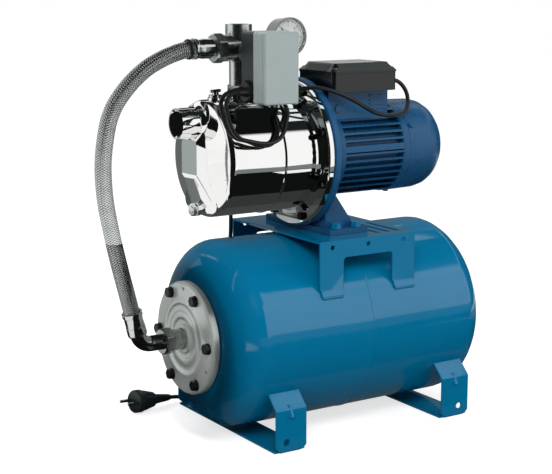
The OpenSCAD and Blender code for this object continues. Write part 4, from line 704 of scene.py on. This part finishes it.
# %% Rings of the studio
RING_Z = 0.0005
FLOOR_RINGS = [  # name, shade, inner and outer radius in metres, first and last angle
    ("dark_ring", BLACK, 0.01, 0.84, 180, 435),
    ("grey_ring", 0.22, 0.84, 1.30, 180, 435),
    ("back_ring", 0.19, 0.01, 1.30, 75, 124),
    ("near_ring", BLACK, 0.01, 0.55, 124, 180),
    ("pale_ring", 0.62, 0.55, 1.30, 124, 180),
]
for name, shade, inner, outer, start, stop in FLOOR_RINGS:
    card(flat_ring(name, inner, outer, RING_Z, start, stop), shade)
BEHIND_FLANGE = (-0.176, 0, 0.1447)
head_ring = flat_ring("head_ring", 0.087, 0.125, 0)
head_ring.matrix_world = (Matrix.Translation(BEHIND_FLANGE)
                          @ Matrix.Rotation(math.radians(90), 4, "Y"))
card(head_ring, BLACK)
head_ring.visible_diffuse = True
head_ring.visible_shadow = True
# A black tube inside the suction port, seen only in reflections, paints the shade deep in its
# bore.
PORT_Z = 0.4485  # the suction port's own height
port_shade_card = spun("port_shade_card", [(-192, 15), (-140, 15)])
port_shade_card.matrix_world = Matrix.Translation((0, 0, PORT_Z))
card(port_shade_card, BLACK)
print("rings:", len(FLOOR_RINGS) + 1, "and the dark bore of the port")

# %% Upright cards
UPRIGHT_CARDS = [  # name, shade, one end, other end, lower edge, upper edge
    # in front, from the floor up
    ("low_wall_card", BLACK, (-0.5, -0.66), (1.6, -0.66), 0, 0.084),
    ("low_strip_card", 0.22, (-0.5, -0.66), (1.6, -0.66), 0.084, 0.19),
    ("panel_card", 1.05, (0.05, -0.66), (1.6, -0.66), 0.19, 0.99),
    ("left_card", BLACK, (-1.2, -0.1), (-0.05, -1.3), 0, 1.5),
    # behind and at the right
    ("grey_card", 0.40, (-1.10, 1.18), (-0.66, 1.42), 0, 1.1),
    ("back_card", 0.14, (-0.42, 0.75), (1.4, 0.75), 0, 0.60),
    ("back_high_card", 0.14, (0.72, 0.75), (1.4, 0.75), 0.60, 0.88),
    ("back_right_card", 0.14, (0.95, 0.75), (1.7, 0.75), 0.88, 1.4),
    ("dark_card", 0.02, (1.7, -0.9), (1.7, 1.3), 0, 1.3),
    # close to the pump's cap, the flange and the switch
    ("cap_card", 1.0, (-0.42, -0.070), (-0.152, -0.070), 0.27, 0.43),
    ("head_side_card", BLACK, (-0.262, -0.10), (-0.262, -0.012), 0.07, 0.27),
    ("terminal_card", BLACK, (-0.11, 0.12), (0.02, 0.12), 0.478, 0.57),
]
for name, shade, start, end, low, high in UPRIGHT_CARDS:
    flat_card(name, shade, [(*start, low), (*end, low), (*end, high), (*start, high)])
print("upright cards:", len(UPRIGHT_CARDS))

# %% Level cards
LEVEL_CARDS = [  # name, left, front, right, rear, height, shade from above, shade from below
    # round the pump's head, between pump and vessel
    ("head_card", -0.41, -0.10, -0.17, 0.09, 0.292, 1.0, 0.01),
    ("head_far_card", -0.95, -0.10, -0.41, 0.09, 0.292, 0.12, 0.75),
    ("head_rear_card", -0.95, 0.09, -0.26, 0.45, 0.292, 1.0, 0.01),
    ("head_front_card", -0.95, -0.90, -0.17, -0.10, 0.292, BLACK, None),
    # under the barrel, darker towards the front, and under the switch
    ("under_pump_front_card", -0.17, -0.16, 0.03, -0.08, 0.302, BLACK, None),
    ("under_pump_middle_card", -0.17, -0.08, 0.03, -0.04, 0.302, 0.04, None),
    ("under_pump_card", -0.17, -0.04, 0.03, 0.0, 0.302, 0.06, None),
    ("under_pump_rear_card", -0.17, 0.0, 0.03, 0.16, 0.302, 0.085, None),
    ("under_switch_card", -0.115, -0.098, -0.05, -0.03, 0.468, BLACK, None),
    # for the vessel's belly, the hose's lower end and the feet
    ("floor_band_card", -0.20, -0.183, 0.42, -0.02, 0.0008, 0.07, None),
    ("hose_card", -0.62, -0.40, -0.33, 0.06, 0.10, 1.0, 0.01),
    ("feet_card", 0.03, -0.235, 0.43, -0.198, 0.30, 1.0, 1.0),
    # overhead, for the terminal box's lid, the barrel's top and the right end
    ("lid_card", 0.03, -0.12, 0.30, -0.057, 0.62, 0.9, 0.9),
    ("barrel_top_card", 0.03, -0.037, 0.115, -0.015, 0.62, 1.0, 1.0),
    ("top_card", 0.45, 0.15, 1.0, 0.50, 1.2, 1.0, 1.0),
]
for name, left, front, right, rear, height, shade, back in LEVEL_CARDS:
    flat_card(name, shade, [(left, front, height), (right, front, height),
                            (right, rear, height), (left, rear, height)], back)
print("level cards:", len(LEVEL_CARDS))

# %% [markdown]
# ## Studio: the lamps
# Three large soft lamps give the painted pieces their form: a key from the front left, a weaker
# one from the right and one from behind. Reflections don't see them, because the cards and the
# wall of light are all that the metal should show.

# %% Lamps
def soft_lamp(name, place, aim, size, power):
    """A rectangular lamp that points at a place and shows in no reflection."""
    data = bpy.data.lights.new(name, "AREA")
    data.shape = "RECTANGLE"
    data.size, data.size_y = size
    data.energy = power
    lamp = new_object(name, data)
    lamp.location = place
    lamp.rotation_euler = (Vector(aim) - Vector(place)).to_track_quat("-Z", "Y").to_euler()
    lamp.visible_glossy = False
    return lamp


soft_lamp("key", (-1.1, -1.5, 1.7), (0, 0, 0.3), (1.1, 0.8), 34)
soft_lamp("side", (1.7, -1.0, 1.2), (0.1, 0, 0.3), (0.8, 1.2), 14)
soft_lamp("back", (0.3, 1.7, 1.5), (0, 0, 0.3), (1.2, 0.8), 18)
print("lamps: 3")

# %% [markdown]
# ## Finishes
# Every finish here is a base colour, a roughness and a little relief, and each of the three
# varies from place to place, because no real surface is even. One helper makes them all: soft
# noise for the colour, another for the gloss, and a fine one for the relief. For turned or
# brushed metal the noise is squeezed along one direction, so that it becomes lines.

# %% Colours and noise
def from_srgb(*rgb):
    """A colour of 0-255 screen values as the linear values that Blender works in."""
    shares = [value / 255 for value in rgb]
    return tuple(c / 12.92 if c <= 0.04045 else ((c + 0.055) / 1.055) ** 2.4 for c in shares)


def noise(tree, where, scale, detail=3.0, stretch=(1, 1, 1)):
    """Noise over a place, in waves per metre, squeezed by the stretch of each axis."""
    spread = add(tree, "ShaderNodeMapping")
    spread.inputs["Scale"].default_value = stretch
    tree.links.new(where, spread.inputs["Vector"])
    made = add(tree, "ShaderNodeTexNoise")
    made.inputs["Scale"].default_value = scale
    made.inputs["Detail"].default_value = detail
    tree.links.new(spread.outputs[0], made.inputs["Vector"])
    return made.outputs["Fac"]


def between(tree, share, low, high):
    """The middle of the noise's range, where nearly all of it lies, spread from low to high."""
    made = add(tree, "ShaderNodeMapRange")
    made.inputs["From Min"].default_value = 0.3
    made.inputs["From Max"].default_value = 0.7
    made.inputs["To Min"].default_value = low
    made.inputs["To Max"].default_value = high
    tree.links.new(share, made.inputs["Value"])
    return made.outputs[0]


def tint(tree, share, dark, light):
    """A colour between a dark and a light one."""
    made = add(tree, "ShaderNodeMix")
    made.data_type = "RGBA"
    made.inputs["A"].default_value = (*dark, 1)
    made.inputs["B"].default_value = (*light, 1)
    tree.links.new(share, made.inputs["Factor"])
    return made.outputs["Result"]


# %% Finish helper
def finish(name, colour, rough, metal=0.0, coat=0.0, shade=0.06, patch=18.0, spread=0.06,
           grain=900.0, relief=0.05, depth=0.1, stretch=(1, 1, 1)):
    """A material: colour in screen values, shade and spread as the share that colour and
    roughness vary by, patch and grain in waves per metre, relief as strength, depth in mm."""
    made = bpy.data.materials.new(name)
    made.use_nodes = True
    tree = made.node_tree
    shader = tree.nodes["Principled BSDF"]
    where = add(tree, "ShaderNodeTexCoord").outputs["Object"]
    base = from_srgb(*colour)
    dark = tuple(c * (1 - shade) for c in base)
    light = tuple(min(c * (1 + shade), 1) for c in base)
    tree.links.new(tint(tree, between(tree, noise(tree, where, patch), 0, 1), dark, light),
                   shader.inputs["Base Color"])
    gloss = noise(tree, where, patch * 4, 4.0, stretch)
    tree.links.new(between(tree, gloss, max(rough - spread, 0.01), rough + spread),
                   shader.inputs["Roughness"])
    shader.inputs["Metallic"].default_value = metal
    shader.inputs["Coat Weight"].default_value = coat
    shader.inputs["Coat Roughness"].default_value = 0.04
    bump = add(tree, "ShaderNodeBump")
    bump.inputs["Strength"].default_value = relief
    bump.inputs["Distance"].default_value = depth * MM
    tree.links.new(noise(tree, where, grain, 2.0, stretch), bump.inputs["Height"])
    tree.links.new(bump.outputs[0], shader.inputs["Normal"])
    return made


# %% [markdown]
# ## Finish for each slot of the part
# The vessel is stove-enamelled over pressed steel: a deep gloss with the faint waviness of
# sprayed paint. The pump is polished stainless, drawn and turned, so its fine lines run round
# the barrel. The motor is painted cast aluminium, duller and grainier. The fittings are
# nickelled brass, and the cast ones are duller than the turned ones. The flange is pressed
# steel with a dull pale coat. The gauge's lens is the one clear piece.

# %% Finishes of the outside
TURNED = (40, 1, 1)  # fine along the shaft and long round it
OUTSIDE = {
    "vessel_enamel": dict(colour=(0, 103, 143), rough=0.11, coat=0.35, shade=0.03, patch=9,
                          spread=0.03, grain=260, relief=0.03, depth=0.2),
    "motor_paint": dict(colour=(16, 70, 108), rough=0.30, shade=0.05, patch=30, grain=1400,
                        relief=0.10, depth=0.15),
    "stainless": dict(colour=(240, 240, 239), rough=0.035, metal=1.0, shade=0.01, spread=0.015,
                      grain=500, relief=0.012, depth=0.04, stretch=TURNED),
    "flange_steel": dict(colour=(203, 209, 205), rough=0.30, metal=0.62, shade=0.015, patch=14,
                         spread=0.02, grain=500, relief=0.008, depth=0.05),
    "nickel": dict(colour=(206, 210, 206), rough=0.12, metal=1.0, shade=0.02, patch=30,
                   spread=0.02, grain=500, relief=0.02, depth=0.04),
    "nickel_cast": dict(colour=(196, 201, 198), rough=0.25, metal=1.0, shade=0.03, patch=30,
                        spread=0.03, grain=700, relief=0.02, depth=0.05),
    "bolt_dark": dict(colour=(62, 64, 64), rough=0.30, metal=1.0, shade=0.08, patch=160,
                      grain=1600, relief=0.08, depth=0.06),
    "bolt_zinc": dict(colour=(178, 178, 172), rough=0.30, metal=1.0, shade=0.06, patch=160,
                      grain=1600, relief=0.08, depth=0.06),
    "rubber": dict(colour=(16, 17, 18), rough=0.38, shade=0.06, patch=60, grain=2000,
                   relief=0.06),
    "box_plastic": dict(colour=(5, 12, 13), rough=0.22, shade=0.04, patch=40, spread=0.03,
                        grain=900, relief=0.03, depth=0.06),
    "cover_plastic": dict(colour=(143, 155, 154), rough=0.42, shade=0.015, patch=40,
                          spread=0.03, grain=1500, relief=0.04, depth=0.05),
    "base_plastic": dict(colour=(26, 34, 35), rough=0.38, shade=0.04, patch=60, grain=1600,
                         relief=0.06, depth=0.06),
}
finishes = {name: finish(name, **settings) for name, settings in OUTSIDE.items()}
motor_shader = finishes["motor_paint"].node_tree.nodes["Principled BSDF"]
motor_shader.inputs["Specular IOR Level"].default_value = 0.32
print("finishes outside:", len(OUTSIDE))

# %% Finishes of the gauge
GAUGE_FINISHES = {
    "needle_black": dict(colour=(18, 18, 20), rough=0.4, shade=0.05, patch=200, grain=3000),
    "gauge_metal": dict(colour=(120, 125, 125), rough=0.14, metal=1.0, shade=0.04, patch=90,
                        grain=900, relief=0.03, depth=0.05),
    "clear": dict(colour=(244, 246, 246), rough=0.02, shade=0.01, spread=0.01, grain=600,
                  relief=0.005),
    "dial_white": dict(colour=(236, 238, 234), rough=0.5, shade=0.02, patch=60, grain=1200,
                       relief=0.02),
    "dial_ink": dict(colour=(20, 22, 24), rough=0.5, shade=0.05, patch=200, grain=2000,
                     relief=0.02),
}
for name, settings in GAUGE_FINISHES.items():
    finishes[name] = finish(name, **settings)
clear_shader = finishes["clear"].node_tree.nodes["Principled BSDF"]
clear_shader.inputs["Transmission Weight"].default_value = 1.0
clear_shader.inputs["IOR"].default_value = 1.45
print("finishes of the gauge:", len(GAUGE_FINISHES))

# %% Finishes of the inner pieces
INSIDE = {
    "brass": dict(colour=(186, 152, 92), rough=0.28, metal=1.0, shade=0.08, patch=90,
                  grain=1600, relief=0.10),
    "white_plastic": dict(colour=(205, 205, 198), rough=0.4, shade=0.03, patch=60, grain=2000),
    "ceramic": dict(colour=(226, 222, 210), rough=0.2, shade=0.03, patch=90, grain=2400,
                    relief=0.03),
    "shaft_steel": dict(colour=(176, 178, 180), rough=0.18, metal=1.0, shade=0.05, patch=90,
                        grain=600, relief=0.08, stretch=TURNED),
    "lamination": dict(colour=(96, 98, 102), rough=0.45, metal=1.0, shade=0.15, patch=60,
                       grain=900, relief=0.3, stretch=TURNED),
    "copper": dict(colour=(170, 92, 48), rough=0.35, metal=1.0, shade=0.14, patch=160,
                   grain=1500, relief=0.35),
}
for name, settings in INSIDE.items():
    finishes[name] = finish(name, **settings)
print("finishes inside:", len(INSIDE))

# %% [markdown]
# ## Finish of the braid
# Each band of the braid is a handful of fine wires side by side. The mesh of the hose carries
# two numbers at every point: how far across its band the point lies, and how high the weave
# stands there. The first one, in waves, makes the wires. The second one darkens the colour
# where the weave lies low, which paints shade into the gaps between the bands and where a band
# dives under another.

# %% Braid finish
WIRES = 7
PAINTED_SHADE_TO, BAND_FROM = 0.40, 0.85  # heights of the weave below which the colour is all painted shade, and above which it is bare wire
braid_wire = bpy.data.materials.new("braid_wire")
braid_wire.use_nodes = True
tree = braid_wire.node_tree
wire_shader = tree.nodes["Principled BSDF"]
wire_shader.inputs["Metallic"].default_value = 1.0
across = add(tree, "ShaderNodeAttribute", attribute_name="across")
height = add(tree, "ShaderNodeAttribute", attribute_name="height")
turns = add(tree, "ShaderNodeMath", operation="MULTIPLY")
turns.inputs[1].default_value = 2 * math.pi * WIRES
wave = add(tree, "ShaderNodeMath", operation="COSINE")
tree.links.new(across.outputs["Fac"], turns.inputs[0])
tree.links.new(turns.outputs[0], wave.inputs[0])
wire_bump = add(tree, "ShaderNodeBump")
wire_bump.inputs["Strength"].default_value = 0.5
wire_bump.inputs["Distance"].default_value = 0.12 * MM
tree.links.new(wave.outputs[0], wire_bump.inputs["Height"])
tree.links.new(wire_bump.outputs[0], wire_shader.inputs["Normal"])
# The colour darkens where the weave lies low: painted shade in the gaps between the bands and
# where a band dives under another.
depth_share = add(tree, "ShaderNodeMapRange")
depth_share.inputs["From Min"].default_value = PAINTED_SHADE_TO
depth_share.inputs["From Max"].default_value = BAND_FROM
tree.links.new(height.outputs["Fac"], depth_share.inputs["Value"])
painted_shade_colour, wire_colour = from_srgb(14, 18, 19), from_srgb(224, 228, 226)
tree.links.new(tint(tree, depth_share.outputs[0], painted_shade_colour, wire_colour),
               wire_shader.inputs["Base Color"])
where = add(tree, "ShaderNodeTexCoord").outputs["Object"]
tree.links.new(between(tree, noise(tree, where, 500), 0.10, 0.2), wire_shader.inputs["Roughness"])
finishes["braid"] = braid_wire
print("wires in a band:", WIRES)

# %% [markdown]
# ## Finish, edges and shading of the CAD pieces
# Each piece takes the finish of its slot. A few have their own: cast fittings are duller than
# turned ones, the screws of the fan cover are painted with the motor, and the bolts of its foot
# with the console. No made edge is perfectly sharp: paint rounds it and a press or a mould
# leaves a radius. Three modifiers give each CAD piece such edges without a change to its mesh:
# Weld joins the loose facets, Bevel rounds the edges by a few tenths of a millimetre, and
# Weighted Normal keeps the flats flat.

# %% Dress a CAD piece
slot_of = {part["node"]: part["material_slot"] for part in frame["record"]["subparts"]}
ROUNDING = {
    "tank_shell": 1.2, "foot_suction_end": 0.9, "foot_motor_end": 0.9, "console": 0.9,
    "fan_cover": 0.8, "terminal_box": 0.8, "terminal_box_lid": 1.2, "switch_cover": 1.0,
    "switch_base": 0.8, "motor_frame": 0.5, "motor_bracket": 0.8, "gauge_lens": 0.1,
}
OTHER_EDGES = 0.4
OWN_FINISH = {
    "five_way_fitting": "nickel_cast", "lower_hose_nut": "nickel_cast",
    "upper_hose_nut": "nickel_cast", "fan_cover_screws": "motor_paint",
    "foot_bolts": "vessel_enamel",
}


def dress(node, rounding):
    """The finish of a node's slot, or its own, and soft edges of a radius in millimetres."""
    piece = nodes[node]
    piece.data.materials.clear()
    piece.data.materials.append(finishes[OWN_FINISH.get(node, slot_of[node])])
    piece.data.shade_smooth()
    weld = piece.modifiers.new("weld", "WELD")
    weld.merge_threshold = 0.02 * MM
    bevel = piece.modifiers.new("edges", "BEVEL")
    bevel.width = rounding * MM
    bevel.segments = 2
    bevel.limit_method = "ANGLE"
    bevel.angle_limit = math.radians(32)
    bevel.miter_outer = "MITER_ARC"
    flats = piece.modifiers.new("flats", "WEIGHTED_NORMAL")
    flats.keep_sharp = True
    flats.weight = 80


# %% Dress every piece
for node in sorted(nodes):
    dress(node, ROUNDING.get(node, OTHER_EDGES))
for bead in weld_beads:
    bead.data.materials.append(finishes["vessel_enamel"])
for lead in (mains_lead, motor_lead, tie, sleeve_ring):
    lead.data.materials.append(finishes["rubber"])
dial_card.data.materials.append(finishes["dial_white"])
for piece in [dial_marks] + dial_numbers:
    piece.data.materials.append(finishes["dial_ink"])
for piece in plug_pieces:
    piece.data.materials.append(finishes[plug_slots[piece]])
hose.data.materials.append(finishes["braid"])
print("dressed:", len(nodes))
